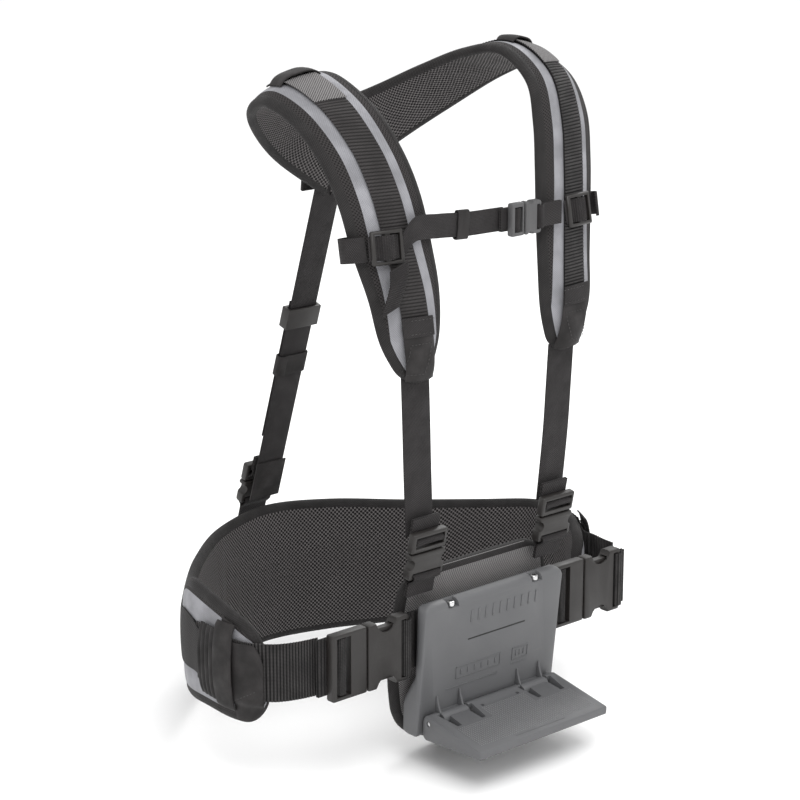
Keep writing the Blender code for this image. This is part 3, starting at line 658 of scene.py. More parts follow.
def striped_finish(name, bands):
    """A pad's outer face in mesh, with bands of cloth at the stored band distances, in metres."""
    material, n, shader, place = new_finish(name)
    weave = use(n, PATTERNS["cloth"], place, Thread=0.0009)
    holes = use(n, PATTERNS["mesh"], place, Pitch=0.0030, Hole=0.24)
    distance = n.add("ShaderNodeAttribute", attribute_name=BAND).outputs["Fac"]
    # The grey bands carry the same painted shade and sheen from the weave.
    grey = n.mix(weave["Light"], (0.19, 0.19, 0.203), (0.315, 0.315, 0.337))
    black = n.mix(holes["Hole"], (0.034, 0.031, 0.031), (0.008, 0.007, 0.007))
    stripe = None
    for low, high in bands:
        inside = n.maths("MULTIPLY", n.maths("GREATER_THAN", distance, low),
            n.maths("LESS_THAN", distance, high))
        stripe = inside if stripe is None else n.maths("MAXIMUM", stripe, inside)
    n.put(n.mix(stripe, black, grey), shader.inputs["Base Color"])
    n.put(n.remap(stripe, 0, 1, 0.85, 0.6), shader.inputs["Roughness"])
    plain = n.maths("MULTIPLY", n.maths("SUBTRACT", 1.0, stripe), holes["Height"])
    bump(n, n.maths("ADD", plain, n.maths("MULTIPLY", stripe, weave["Height"])), shader, 0.0006)
    sheen(shader, 0.02)
    return material


BELT_WEB = webbing_finish("ribbed belt webbing", (0.003, 0.003, 0.003), (0.058, 0.054, 0.054), RIB, 0.0012,
    0.0008, 0.0)
PAD_WEB = webbing_finish("shoulder webbing", (0.010, 0.009, 0.009), (0.046, 0.042, 0.042), RIB, 0.0012,
    0.0004, 0.0)
STRAP_WEB = webbing_finish("strap webbing", (0.010, 0.009, 0.009), (0.042, 0.038, 0.039), 0.0013, 0.0011,
    0.0003)
BINDING = webbing_finish("binding tape", (0.009, 0.0085, 0.0085), (0.036, 0.033, 0.033), 0.0016, 0.0010,
    0.0003)
SMOOTH_WEB = cloth_finish("smooth nylon tape", (0.012, 0.011, 0.011), (0.030, 0.027, 0.027),
    0.0006, 0.0002)
LINING = mesh_finish("lining mesh", (0.170, 0.158, 0.158), (0.004, 0.0035, 0.0035), 0.0040,
    0.30)
FINE_MESH = mesh_finish("fine grey mesh", (0.26, 0.25, 0.25), (0.02, 0.02, 0.02), 0.0022, 0.23)
BLACK_MESH = mesh_finish("black pocket mesh", (0.040, 0.037, 0.037), (0.006, 0.005, 0.005),
    0.0026, 0.25)
BLACK_CLOTH = cloth_finish("black pad cloth", (0.010, 0.009, 0.009), (0.028, 0.026, 0.026))
BUCKLE = plastic_finish("buckle plastic", (0.014, 0.012, 0.011), 0.38)
CHEST = plastic_finish("grey buckle plastic", (0.076, 0.075, 0.077), 0.36)
PLATE = plastic_finish("grey plate plastic", (0.101, 0.102, 0.106), 0.42, 1300.0, 0.00010)
# Paler than the plate's plastic; the raised dots on the rest get this colour.
PALE_RAISED = plastic_finish("pale raised plastic", (0.185, 0.186, 0.190), 0.40)
# Painted shade: flat near-black pieces laid where a groove or a screw's cross recess would be in shadow.
PAINTED_RECESS_SHADE = plastic_finish("painted recess shade", (0.012, 0.012, 0.012), 0.6)
STEEL = steel_finish()
THREAD = cloth_finish("sewing thread", (0.03, 0.03, 0.03), (0.085, 0.08, 0.08), 0.0004, 0.0001)

# %% [markdown]
# ## The pads
#
# Each pad is foam between two cloths, sewn flat along its edge. It starts as a closed shell a little
# thinner than the real one, with its sewn edge pinned. Cloth simulation blows it up with gentle
# pressure, so that the sides swell and pull in between the seams as stitched fabric does. How far a
# point may move is capped, because the pads must stay inside the space that the parts leave for them.

# %% Sew and fill the pads
PRESSURE = 4.0
FRAMES = 20


def pad_columns(pad, count):
    """Places along a pad, closer together where its corners turn."""
    near, far = pad.corners
    start = near * (1 - np.cos(TURNS))
    end = pad.length - far * (1 - np.cos(TURNS[::-1]))
    return np.concatenate([start[:-1], np.linspace(near, pad.length - far, count), end[1:]])


def pad_shell(name, pad, count, rows, from_middle):
    """The closed shell of a pad, and how firmly each of its points is sewn down."""
    xs = pad_columns(pad, count)
    piece, along, across = flat_grid(name, len(xs) - 1, rows)
    x = xs[np.rint(along * (len(xs) - 1)).astype(int)]
    share = 0.5 - 0.5 * np.cos(np.rint(across * rows) / rows * math.pi)
    share = 0.45 * share + 0.55 * across
    low = pad.low_edge(x)
    y = low + (pad.width(x) - 2 * low) * share
    wall = piece.modifiers.new("wall", "SOLIDIFY")
    wall.thickness = 0.002
    set_uv(piece, x, y)
    side = np.abs(y - pad.width(x) / 2) if from_middle else np.minimum(y, pad.width(x) - y)
    piece.data.attributes.new(BAND, "FLOAT", "POINT").data.foreach_set("value", side.astype(np.float32))
    apply_modifiers(piece)
    half = pad.thickness_at(x, y)
    front, back = pad.at(x, y, half), pad.at(x, y, -half)
    first = get_points(piece)[: len(x)]
    flat_side = np.abs(first[:, 2]).max() < 1e-6
    set_points(piece, np.vstack([front, back] if flat_side else [back, front]))
    face_outwards(piece)
    edge = np.minimum(np.minimum(y - low, pad.width(x) - low - y), np.minimum(x, pad.length - x))
    sewn = np.clip(1 - (edge - 0.006) / 0.006, 0, 1)
    return piece, np.concatenate([sewn, sewn])


def fill(piece, sewn, cap):
    """Lets pressure swell a shell whose sewn points are pinned, and caps how far it goes."""
    before = get_points(piece)
    pins = piece.vertex_groups.new(name="sewn")
    for level in np.unique(np.round(sewn, 2)):
        if level > 0:
            pins.add(np.flatnonzero(np.round(sewn, 2) == level).tolist(), float(level), "REPLACE")
    cloth = piece.modifiers.new("filling", "CLOTH")
    settings = cloth.settings
    settings.quality = 5
    settings.mass = 0.25
    settings.tension_stiffness = settings.compression_stiffness = 18
    settings.bending_stiffness = 0.6
    settings.use_pressure = True
    settings.uniform_pressure_force = PRESSURE
    settings.vertex_group_mass = "sewn"
    settings.effector_weights.gravity = 0
    cloth.collision_settings.use_collision = False
    cloth.point_cache.frame_start, cloth.point_cache.frame_end = 1, FRAMES
    for number in range(1, FRAMES + 1):
        SCENE.frame_set(number)
    apply_modifiers(piece)
    SCENE.frame_set(1)
    moved = get_points(piece) - before
    far = np.maximum(np.linalg.norm(moved, axis=1, keepdims=True), 1e-9)
    set_points(piece, before + moved * np.minimum(1, cap / far))
    piece.vertex_groups.clear()
    print(piece.name, "swelled by up to", round(float(np.minimum(far, cap).max()) * 1000, 1), "mm")


def pad(name, plan, count, rows, material, lining, from_middle=False, stands_for=()):
    """A filled pad with one cloth outside and another inside."""
    piece, sewn = pad_shell(name, plan, count, rows, from_middle)
    fill(piece, sewn, 0.0022)
    smoother = piece.modifiers.new("smooth", "SUBSURF")
    smoother.levels = smoother.render_levels = 1
    outside = len(piece.data.polygons)
    apply_modifiers(piece)
    smooth(piece, 80)
    dress(piece, material, "harness", *stands_for)
    piece.data.materials.append(lining)
    centres = np.empty(len(piece.data.polygons) * 3, np.float32)
    piece.data.polygons.foreach_get("center", centres)
    normals = np.empty(len(piece.data.polygons) * 3, np.float32)
    piece.data.polygons.foreach_get("normal", normals)
    inner = inward(plan, centres.reshape(-1, 3), normals.reshape(-1, 3))
    piece.data.polygons.foreach_set("material_index", inner.astype(np.int32))
    print(name, "has", outside, "faces sewn and", len(piece.data.polygons), "smoothed")
    return piece


def inward(plan, centres, normals):
    """True for faces that look to the wearer's side of a pad."""
    xs = np.linspace(0, plan.length, 160)
    middle = plan.at(xs, 0.5 * plan.width(xs), 0.0)
    outward = unit(plan.at(xs, 0.5 * plan.width(xs), 0.01) - middle)
    nearest = np.argmin(((centres[:, None, :] - middle[None]) ** 2).sum(-1), axis=1)
    return (normals * outward[nearest]).sum(-1) < 0


hip_outer = striped_finish("hip pad face", [(0.0085, 0.0290)])
shoulder_outer = striped_finish("shoulder pad face", [(0.0120, 0.0235)])
pad("hip_cushion", HIP_PAD, 150, 22, hip_outer, LINING, stands_for=("hip_pad", "hip_pad_lining"))
for side, word in ((-1, "right"), (1, "left")):
    pad(f"{word}_shoulder_cushion", SHOULDERS[side], 90, 16, shoulder_outer, LINING, True,
        (f"{word}_shoulder_pad", f"{word}_shoulder_lining"))
pad("belly_cushion", BELLY_PAD, 44, 30, FINE_MESH, LINING, stands_for=("belly_pad",))

# %% [markdown]
# ## Binding along the edges
#
# A bias tape is folded over the raw edge of each pad and sewn through. It is a strip whose section is a
# U, carried once round the outline. Laying it out as a flat grid first keeps its weave straight.

# %% Fold the binding over every edge
BINDING_WIDTH = 0.0095
BINDING_LIFT = 0.0011


def binding(name, plan, body, per_side=120, width=BINDING_WIDTH):
    reach = plan.edge + BINDING_LIFT
    section = [(width, reach - 0.0010), (width - 0.0006, reach), (0.5 * width, reach + 0.0007),
        (0.0022, reach)]
    section += [(-0.0004, 0.62 * reach), (-0.0013, 0.0)]
    section += [(inset, -lift) for inset, lift in reversed(section[:-1])]
    rings = []
    for inset, lift in section:
        x, y = plan.outline(inset, per_side)
        rings.append(plan.at(x, y, np.full(len(x), lift)))
    if not plan.open_end:
        rings = [np.vstack([ring, ring[:1]]) for ring in rings]
    rings = np.array(rings)
    middle = run_of(rings[len(section) // 2])
    width_run = run_of(rings[:, 10])
    piece, along, across = flat_grid(name, rings.shape[1] - 1, len(section) - 1)
    i = np.rint(along * (rings.shape[1] - 1)).astype(int)
    j = np.rint(across * (len(section) - 1)).astype(int)
    set_points(piece, rings[j, i])
    set_uv(piece, middle[i], width_run[j])
    pick(piece)
    bpy.ops.object.mode_set(mode="EDIT")
    bpy.ops.mesh.select_all(action="SELECT")
    bpy.ops.mesh.remove_doubles(threshold=0.00002)
    bpy.ops.mesh.normals_make_consistent(inside=False)
    bpy.ops.object.mode_set(mode="OBJECT")
    wall = piece.modifiers.new("wall", "SOLIDIFY")
    wall.thickness = 0.0008
    wall.offset = 0
    smoother = piece.modifiers.new("smooth", "SUBSURF")
    smoother.levels = smoother.render_levels = 1
    apply_modifiers(piece)
    smooth(piece, 80)
    print(name, "is", round(middle[-1], 2), "m long")
    return dress(piece, BINDING, body)


binding("hip_binding", HIP_PAD, "harness", 150)
binding("belly_binding", BELLY_PAD, "harness", 50)
for side, word in ((-1, "right"), (1, "left")):
    binding(f"{word}_shoulder_binding", SHOULDERS[side], "harness", 110, 0.0085)

# %% [markdown]
# ## Webbing
#
# Every strap is one flat tape. The wide belt webbing is coarse enough for its ribs to be real waves in
# the mesh, and the narrow straps carry them in their weave. The tape that goes through a buckle
# turns round its bars, so those pieces follow the same paths as the measured ones.

# %% Lay the belt and the straps
WEB = 0.0013
BELT_Z = -0.003
HIP_LAST = len(HIP) - 1
HARNESS = "harness"


def hip_at(index, z, lift):
    """A point on the hip pad by station, by height in metres, and out from its middle."""
    index, z, lift = np.broadcast_arrays(index, z, lift)
    low, high = np.moveaxis(curve_at(HIP, index / HIP_LAST), -1, 0)[2:]
    return hip_surface(index / HIP_LAST, (z - low) / (high - low), lift)


def strap(name, path, across, width, material, body, columns=60, rib=0.0, stands_for=None):
    piece = tape(name, ribbon(path, across, width), columns, 4, WEB, rib)
    return dress(piece, material, body, *((name.replace("_tape", ""),) if stands_for is None else stands_for))


def belt_webbing():
    lift = 0.0086
    right = [tuple(hip_at(i, BELT_Z, lift)) for i in (3.2, 2.6, 2.0, 1.4, 0.8)]
    right += [(-0.209, -0.130, BELT_Z), (-0.192, -0.1375, BELT_Z), (-0.174, -0.141, BELT_Z)]
    strap("right_belt_webbing_tape", right, (0, 0, 1), 0.050, BELT_WEB, HARNESS, rib=0.0026)
    left = [tuple(hip_at(i, BELT_Z, lift)) for i in (12.95, 13.5, 14.0, 14.5)]
    left += [(0.182, -0.106, BELT_Z), (0.179, -0.122, BELT_Z), (0.178, -0.135, BELT_Z)]
    strap("left_belt_webbing_tape", left, (0, 0, 1), 0.050, BELT_WEB, HARNESS, rib=0.0026)


def front_and_back_straps():
    for side, word in ((-1, "right"), (1, "left")):
        path = [(side * x, y, z) for x, y, z in
                ((0.0835, -0.1575, 0.2300), (0.0815, -0.1570, 0.190), (0.0795, -0.1562, 0.15),
                    (0.0752, -0.1540, 0.092))]
        strap(f"{word}_front_strap_tape", path, (1, 0, 0), 0.030, STRAP_WEB, HARNESS)
    strap("back_strap_tape", [back_line(t, -0.0011) for t in (-0.10, 0.5, 1.0)], (1, 0, 0), 0.030,
        STRAP_WEB, HARNESS)
    back = [back_line(t, 0.0011) for t in (0.36, 0.6, 0.88)]
    strap("back_strap_return_tape", back, (1, 0, 0), 0.030, STRAP_WEB, HARNESS)


BACK_TOP, BACK_BOTTOM = Vector((0, 0.0560, 0.331)), Vector((0, 0.1405, 0.070))
BACK_PULL = (BACK_TOP - BACK_BOTTOM).normalized()
BACK_OUT = Vector((0, BACK_PULL.z, -BACK_PULL.y))


def back_line(share, outward):
    """A point of the back strap's line, 0 at its top, moved out from the wearer."""
    return tuple(BACK_TOP + (BACK_BOTTOM - BACK_TOP) * share + BACK_OUT * outward)


belt_webbing()
front_and_back_straps()
print("belt and straps laid")

# %% [markdown]
# ## Webbing round the buckles
#
# A side-release buckle has a socket, whose closed end is a plain bar, and a latch, whose end is a
# ladder of two bars. Fixed webbing folds round the plain bar. Webbing that can be tightened comes in
# under the ladder's end bar, goes over the middle bar and back out.

# %% Thread the buckles


class Buckle:
    """Sizes of a buckle and the frame it sits in: x out of its mouth, z away from the wearer."""

    def __init__(self, sizes, place, pull, outward):
        self.webbing, self.socket, self.latch, self.thick, self.bar, self.slot, self.middle = sizes
        x = Vector(pull).normalized()
        z = (Vector(outward) - Vector(outward).dot(x) * x).normalized()
        self.frame = Matrix((x, z.cross(x), z)).transposed().to_4x4()
        self.frame.translation = Vector(place)
        self.latch_thick = self.thick - 0.002
        self.middle_x = self.latch - self.bar - self.slot - self.middle / 2
        self.deep = self.socket - self.bar - self.slot - 0.0025
        self.across = tuple(self.frame.to_3x3() @ Vector((0, 1, 0)))

    def at(self, x, y, z):
        return tuple(self.frame @ Vector((x, y, z)))

    def path(self, points):
        return [self.at(x, 0, z) for x, z in points]


BELT_SIZES = (0.050, 0.045, 0.037, 0.0115, 0.004, 0.005, 0.005)
STRAP_SIZES = (0.030, 0.024, 0.018, 0.0095, 0.003, 0.0036, 0.003)
CHEST_SIZES = (0.020, 0.0185, 0.0145, 0.0090, 0.0027, 0.0032, 0.0025)
STRAP_PULL = Vector((0, -0.2, 0.98)).normalized()
BUCKLES = {
    "right_belt": Buckle(BELT_SIZES, (-0.134, -0.152, BELT_Z), (-1, 0, 0), (0, -1, 0)),
    "left_belt": Buckle(BELT_SIZES, (0.1192, -0.152, BELT_Z), (-1, 0, 0), (0, -1, 0)),
    "right_strap": Buckle(STRAP_SIZES, (-0.0745, -0.1615, 0.080), STRAP_PULL, (0, -1, 0)),
    "left_strap": Buckle(STRAP_SIZES, (0.0745, -0.1615, 0.080), STRAP_PULL, (0, -1, 0)),
    "back_strap": Buckle(STRAP_SIZES, back_line(1.075, 0.0105), BACK_PULL, BACK_OUT),
    "chest": Buckle(CHEST_SIZES, (0.031, -0.162, 0.344), (-1, 0, 0), (0, -1, 0)),
}


def ladder_tape(name, buckle, reach, body, material, node):
    end, middle = buckle.latch, buckle.middle_x
    under = -(buckle.latch_thick / 2 + 0.0010)
    lower = under - WEB - 0.0005
    half = buckle.middle / 2 + 0.0014
    over = 0.0034
    path = [
        (end + reach, under), (end, under), (middle + half + 0.0009, under + 0.0003),
        (middle + half + 0.0006, 0.0), (middle + half - 0.0014, over - 0.0003), (middle, over),
        (middle - half + 0.0014, over - 0.0003), (middle - half - 0.0004, 0.0),
        (middle - half - 0.0002, under), (middle - half + 0.0022, lower), (middle + half, lower),
        (end + reach, lower),
    ]
    strap(name, buckle.path(path), buckle.across, buckle.webbing - 0.0004, material, body, 110,
        stands_for=(node,))


def bar_tape(name, buckle, front, back, body, material, node):
    end, over = -buckle.socket, buckle.thick / 2 + 0.0013
    slot = end + buckle.bar + buckle.slot / 2
    path = [(end + x, z) for x, z in reversed(front)]
    path += [(end + 0.0006, over), (slot - 0.0012, over - 0.0005), (slot, 0.0)]
    path += [(slot - 0.0012, -over + 0.0005), (end + 0.0006, -over)]
    path += [(end + x, z) for x, z in back]
    strap(name, buckle.path(path), buckle.across, buckle.webbing - 0.0004, material, body, 110,
        stands_for=(node,))


def thread_buckles():
    web, belt = STRAP_WEB, BELT_WEB
    ladder_tape("right_belt_wrap_tape", BUCKLES["right_belt"], 0.008, "right_belt_release", belt,
        "right_belt_wrap")
    ladder_tape("left_side_tape", BUCKLES["left_belt"], 0.026, HARNESS, belt, "left_side_webbing")
    closed = [(-0.0022, 0.0048), (-0.0050, 0.0014), (-0.0090, 0.0012)]
    bar_tape("left_belt_wrap_tape", BUCKLES["left_belt"], closed, [(x, -z) for x, z in closed],
             "left_belt_release", belt, "left_belt_wrap")
    front = [(-0.0026, 0.0035), (-0.0050, -0.0025), (-0.0085, -0.0046), (-0.0300, -0.0046)]
    back = [(-0.0035, -0.0068), (-0.0085, -0.0064), (-0.0300, -0.0064)]
    bar_tape("right_side_tape", BUCKLES["right_belt"], front, back, HARNESS, belt, "right_side_webbing")
    for word in ("right", "left", "back"):
        buckle = BUCKLES[f"{word}_strap"]
        body = f"{word}_strap_release"
        ladder_tape(f"{word}_strap_wrap_tape", buckle, 0.010, body, web, f"{word}_strap_wrap")
        far = 0.0220 if word == "back" else 0.0180
        front = [(-0.0024, 0.0034), (-0.0060, 0.0004), (-far, 0.0000)]
        back = [(-0.0030, -0.0040), (-0.0070, -0.0018), (-far, -0.0020)]
        node = "back_loop" if word == "back" else f"{word}_anchor_loop"
        bar_tape(f"{node}_tape", buckle, front, back, HARNESS, web, node)
    buckle = BUCKLES["chest"]
    ladder_tape("chest_wrap_tape", buckle, 0.006, "chest_release", web, "chest_wrap")
    front = [(-0.0024, 0.0034), (-0.0060, 0.0012), (-0.0260, 0.0010)]
    back = [(-0.0030, -0.0040), (-0.0070, -0.0008), (-0.0260, -0.0008)]
    bar_tape("left_chest_tape", buckle, front, back, "chest_strap", web, "left_chest_webbing")


thread_buckles()
print("threaded", len(BUCKLES), "buckles")

# %% [markdown]
# ## Strips sewn on the shoulder pads
#
# A wide ribbed strap runs down the middle of each shoulder pad. A short elastic keeper crosses it near
# the top, a patch of mesh fills the space in front of the keeper, and a smooth patch at the tip holds
# the end of the front strap.

# %% Lay the shoulder strips
TIP_PATCH = 0.047


def on_pad(plan, span, width, lift):
    """A strip on a pad: from and to in metres along it, its width, and how far it stands out."""

    def surface(along, across):
        x = span[0] + (span[1] - span[0]) * along
        y = plan.width(x) * 0.5 + (across - 0.5) * width
        return plan.at(x, y, lift(x, y) if callable(lift) else np.full(len(x), lift))

    return surface


def tight_lift(plan, extra):
    return lambda x, y: plan.thickness_at(x, y) + extra


def shoulder_strips():
    for side, word in ((-1, "right"), (1, "left")):
        plan = SHOULDERS[side]
        crest = 0.605 * plan.length
        strip = tape(f"{word}_shoulder_tape",
            on_pad(plan, (0.012, 0.66 * plan.length), 0.026, tight_lift(plan, 0.0016)),
                     80, 4, WEB, 0.0029, 0.0001 if side < 0 else 0.0002)
        dress(strip, PAD_WEB if side < 0 else BELT_WEB, HARNESS, f"{word}_shoulder_webbing")
        hoop = tape(f"{word}_keeper_loop",
            on_pad(plan, (crest - 0.007, crest + 0.009), 0.036, arched(plan, 0.0052)),
                    6, 16, 0.0015)
        dress(hoop, SMOOTH_WEB, HARNESS, f"{word}_shoulder_elastic")
        window = tape(f"{word}_mesh_patch",
            on_pad(plan, (crest - 0.042, crest - 0.004), 0.0275, tight_lift(plan, 0.0027)),
                      10, 6, 0.0009)
        dress(window, FINE_MESH, HARNESS)
        tip = tape(f"{word}_tip_patch", on_pad(plan, (0.003, 0.003 + TIP_PATCH), 0.030,
            tight_lift(plan, 0.0034)),
                   14, 8, 0.0012)
        dress(tip, SMOOTH_WEB, HARNESS)
        cross = tape(f"{word}_tip_tape", on_pad(plan, (0.040, 0.056), 0.031, tight_lift(plan, 0.0047)), 6,
            8, 0.0010)
        dress(cross, STRAP_WEB, HARNESS)


def arched(plan, rise):
    """A strip that is sewn down at both ends and stands over the strap in its middle."""

    def lift(x, y):
        share = (y - plan.width(x) * 0.5) / 0.018
        return plan.thickness_at(x, y) + 0.0008 + rise * (1 - np.clip(np.abs(share), 0, 1) ** 4)

    return lift


shoulder_strips()
print("shoulder strips sewn on")

# %% [markdown]
# ## Hip end covers, loops and pockets
#
# Each front end of the hip pad has a smooth cover sewn over the belt webbing. Behind it a wide stiff
# loop holds the webbing down, and behind the loop a thin pocket is gathered into pleats.

# %% Sew the hip details
WEBBING_RISE = 0.0108


def eased(value):
    value = np.clip(value, 0, 1)
    return value * value * (3 - 2 * value)


def along_hip(station):
    """Metres along the hip pad at a station."""
    return float(np.interp(station / HIP_LAST, HIP_PAD.steps, HIP_PAD.run))


def over_webbing(x, y, extra=0.0009):
    """How far cloth stands out of the hip pad: close to it, and up over the belt webbing."""
    height = HIP_PAD.at(x, y, 0.0)[..., 2]
    rise = eased((0.033 - np.abs(height - BELT_Z)) / 0.007)
    from_end = np.where(x < HIP_PAD.length / 2, along_hip(3.2) - x, x - along_hip(12.95))
    rise = rise * eased(0.5 + from_end / 0.024)
    close = HIP_PAD.thickness_at(x, y) + extra
    return close + rise * np.maximum(WEBBING_RISE - close, 0)


def hip_panel(name, near, far, margins, material, rise=0.0, rows=40, node=None):
    """Cloth laid on the hip pad between two distances along it, with its margins from both edges."""

    def surface(along, across):
        x = near + (far - near) * along
        low = HIP_PAD.low_edge(x) + margins[0]
        high = HIP_PAD.width(x) - np.maximum(margins[1] + (margins[2] - margins[1]) * along,
            HIP_PAD.low_edge(x) + 0.003)
        y = low + (high - low) * across
        bulge = rise * np.sin(math.pi * np.clip(across, 0, 1)) ** 0.6
        return HIP_PAD.at(x, y, over_webbing(x, y) + bulge)

    return dress(tape(name, surface, 26, rows, 0.0010), material, HARNESS, *((node,) if node else ()))


def standing_strip(name, first, last, heights, lift, material, columns, rows, node=None, wall=0.0014):
    """Cloth between two stations of the hip pad, with its own height and lift at each point."""

    def surface(along, across):
        z = heights[0] + (heights[1] - heights[0]) * across
        return hip_at(first + (last - first) * along, z, lift(along, across))

    piece = tape(name, surface, columns, rows, wall)
    return dress(piece, material, HARNESS, *((node,) if node else ()))


def loop_lift(along, across):
    return 0.0082 + 0.0065 * np.clip(np.sin(math.pi * np.clip(across, 0, 1)), 0, 1) ** 0.5


def pleat_lift(along, across):
    gather = 0.0018 * np.abs(np.sin(3.5 * math.pi * along)) * (0.4 + 0.6 * np.sin(math.pi * across))
    return 0.0122 + gather - 0.0030 * np.abs(2 * across - 1) ** 4


def hip_details():
    for word, loop, pleats, outer in (
        ("right", (1.50, 2.22), (2.28, 2.86), (0.05, 1.58, 2.84, 5.6)),
        ("left", (13.78, 14.50), (13.14, 13.72), (14.95, 14.42, 13.16, 10.4)),
    ):
        tip, behind_loop, front, back = (along_hip(station) for station in outer)
        hip_panel(f"{word}_end_cover", tip, behind_loop, (0.001, 0.003, 0.0185), SMOOTH_WEB)
        standing_strip(f"{word}_wide_loop", *loop, (BELT_Z - 0.037, BELT_Z + 0.037), loop_lift, SMOOTH_WEB,
                       6, 30, f"{word}_belt_loop")
        root = along_hip(loop[0] + 0.1), along_hip(loop[1] - 0.1)
        hip_panel(f"{word}_loop_root", *root, (0.060, 0.006, 0.006), SMOOTH_WEB, 0.0, 16)
        standing_strip(f"{word}_pleats", *pleats, (-0.036, 0.026), pleat_lift, BLACK_CLOTH, 42, 14)
        hip_panel(f"{word}_pocket", front, back, (0.029, 0.031, 0.014), BLACK_MESH, 0.0012, 20,
                  f"{word}_pocket_panel")


hip_details()
print("hip pad details sewn on")

# %% [markdown]
# ## Back straps, sleeves and the chest strap
#
# The two shoulder pads meet at a yoke, from which one strap runs down to the hip pad. Sleeves hold its
# two layers together. The chest strap hangs between two adjusters that are threaded on its webbing, and
# can slide up and down the shoulder pads.

# %% Make the back and chest straps
BACK_RING = (0.0314, 0.0049)
CHEST_RING = (0.0214, 0.0025)
HALF_PAD = SHOULDERS[1].half
CHEST_PLACE = {-1: (0.279, 0.68), 1: (0.272, 0.52)}
CHEST_Z = 0.344


def ring_tape(name, centre, along, outward, inner, length, material, body, node):
    """A sleeve of webbing round a strap, its ends overlapped on the wearer's side."""
    x = Vector(along).normalized()
    z = (Vector(outward) - Vector(outward).dot(x) * x).normalized()
    y = z.cross(x)
    turn = np.linspace(math.radians(-104), math.radians(262), 40)
    half, tall = inner[0] / 2 + 0.0008, inner[1] / 2 + 0.0009
    grow = np.linspace(0.0, 0.0011, 40)
    path = []
    for angle, more in zip(turn, grow):
        c, s = math.cos(angle), math.sin(angle)
        over = math.copysign(abs(c) ** 0.35, c) * (half + 0.2 * more)
        out = math.copysign(abs(s) ** 0.5, s) * (tall + more * (s < 0))
        path.append(Vector(centre) + y * over + z * out)
    piece = tape(name, ribbon(path, x, length), 90, 4, 0.0011)
    return dress(piece, material, body, node)


def yoke_surface(across, up):
    half = 0.020 + 0.011 * up
    return np.stack([(2 * across - 1) * half, 0.0635 - 0.0223 * up, 0.3415 + 0.080 * up], -1)


def back_details():
    dress(tape("yoke_patch", yoke_surface, 20, 24, 0.0030), SMOOTH_WEB, HARNESS, "back_yoke")
    ring_tape("back_keeper_ring", back_line(0.60, 0), BACK_PULL, BACK_OUT, BACK_RING, 0.020, SMOOTH_WEB,
              "back_keeper_body", "back_keeper")
    anchor = [back_line(t, -0.0030) for t in (0.985, 1.06, 1.13)]
    strap("back_anchor_patch", anchor, (1, 0, 0), 0.034, SMOOTH_WEB, HARNESS, stands_for=())


def adjuster_frame(side):
    """Where an adjuster lies: its centre, and its directions across the pad and outwards."""
    along, across = CHEST_PLACE[side]
    surface = SHOULDERS[side].surface
    spot = lambda share, lift: Vector(surface(np.array(along), np.array(share), np.array(lift)).tolist())
    centre = spot(across, HALF_PAD + 0.0066)
    x = (centre - spot(across - 0.3, HALF_PAD + 0.0066)).normalized()
    outward = centre - spot(across, 0.0)
    z = (outward - outward.dot(x) * x).normalized()
    return centre, x, z.cross(x), z


def chest_details():
    for side, word in ((-1, "right"), (1, "left")):
        surface, along = SHOULDERS[side].surface, CHEST_PLACE[side][0]
        spot = lambda share, lift: Vector(surface(np.array(along), np.array(share), np.array(lift)).tolist())
        out, behind = HALF_PAD + 0.0045, -(HALF_PAD + 0.0025 + 0.0048)
        edge = spot(1.0, 0.0)
        away = (edge - spot(0.8, 0.0)).normalized()
        front = [spot(share, out) for share in (0.93, 0.98)]
        back = [spot(share, behind) for share in (0.97, 0.8, 0.6)]
        turn = [edge + away * 0.0090 + (front[1] - edge) * 0.35,
            edge + away * 0.0090 + (back[0] - edge) * 0.4]
        strap(f"{word}_wrap_tape", front + turn + back, (0, 0.17, 0.985), 0.020, STRAP_WEB, "chest_strap", 90,
              stands_for=(f"{word}_pad_wrap",))
        centre, x, y, z = adjuster_frame(side)
        over = [(-0.0165, -0.0027), (-0.0110, -0.0024), (-0.0066, -0.0010), (-0.0036, 0.0020), (0.0, 0.0029),
                (0.0036, 0.0020), (0.0066, -0.0010), (0.0110, -0.0024), (0.0165, -0.0027)]
        path = [centre + x * a + z * b for a, b in over]
        strap(f"{word}_adjuster_tape", path, y, 0.0196, STRAP_WEB, "chest_strap", 70, rib=0.0021,
            stands_for=())
    centre, x, _, z = adjuster_frame(-1)
    path = [tuple(centre - x * 0.0150 - z * 0.0022), (-0.085, -0.1600, CHEST_Z + 0.006),
            (-0.060, -0.1590, CHEST_Z + 0.005), (-0.045, -0.1572, CHEST_Z + 0.0035),
            (-0.03, -0.1560, CHEST_Z + 0.002), (-0.014, -0.1544, CHEST_Z + 0.001),
            (0.002, -0.1536, CHEST_Z + 0.0005), (0.017, -0.1530, CHEST_Z)]
    strap("right_chest_tape", path, (0, 0, 1), 0.020, STRAP_WEB, "chest_strap", 80,
          stands_for=("right_chest_webbing",))
    tail = [(-0.1060, -0.1640, 0.324), (-0.1090, -0.1665, 0.310), (-0.1170, -0.1655, 0.288)]
    strap("chest_tail_tape", tail, (1, 0, 0.35), 0.020, STRAP_WEB, "chest_strap", rib=0.0024,
          stands_for=("chest_tail",))
    ring_tape("chest_keeper_ring", (-0.032, -0.1562, CHEST_Z + 0.0022), (1, 0.064, -0.07), (0, -1, 0),
        CHEST_RING,
              0.013, SMOOTH_WEB, "chest_keeper_body", "chest_keeper")


back_details()
chest_details()
print("back and chest straps made")

# %% [markdown]
# ## Moulded plastic
#
# The buckles, adjusters, plate and rest keep the measured shapes. Each is copied, its flat faces are
# joined up again, and its hard corners are rounded the way a mould leaves them.

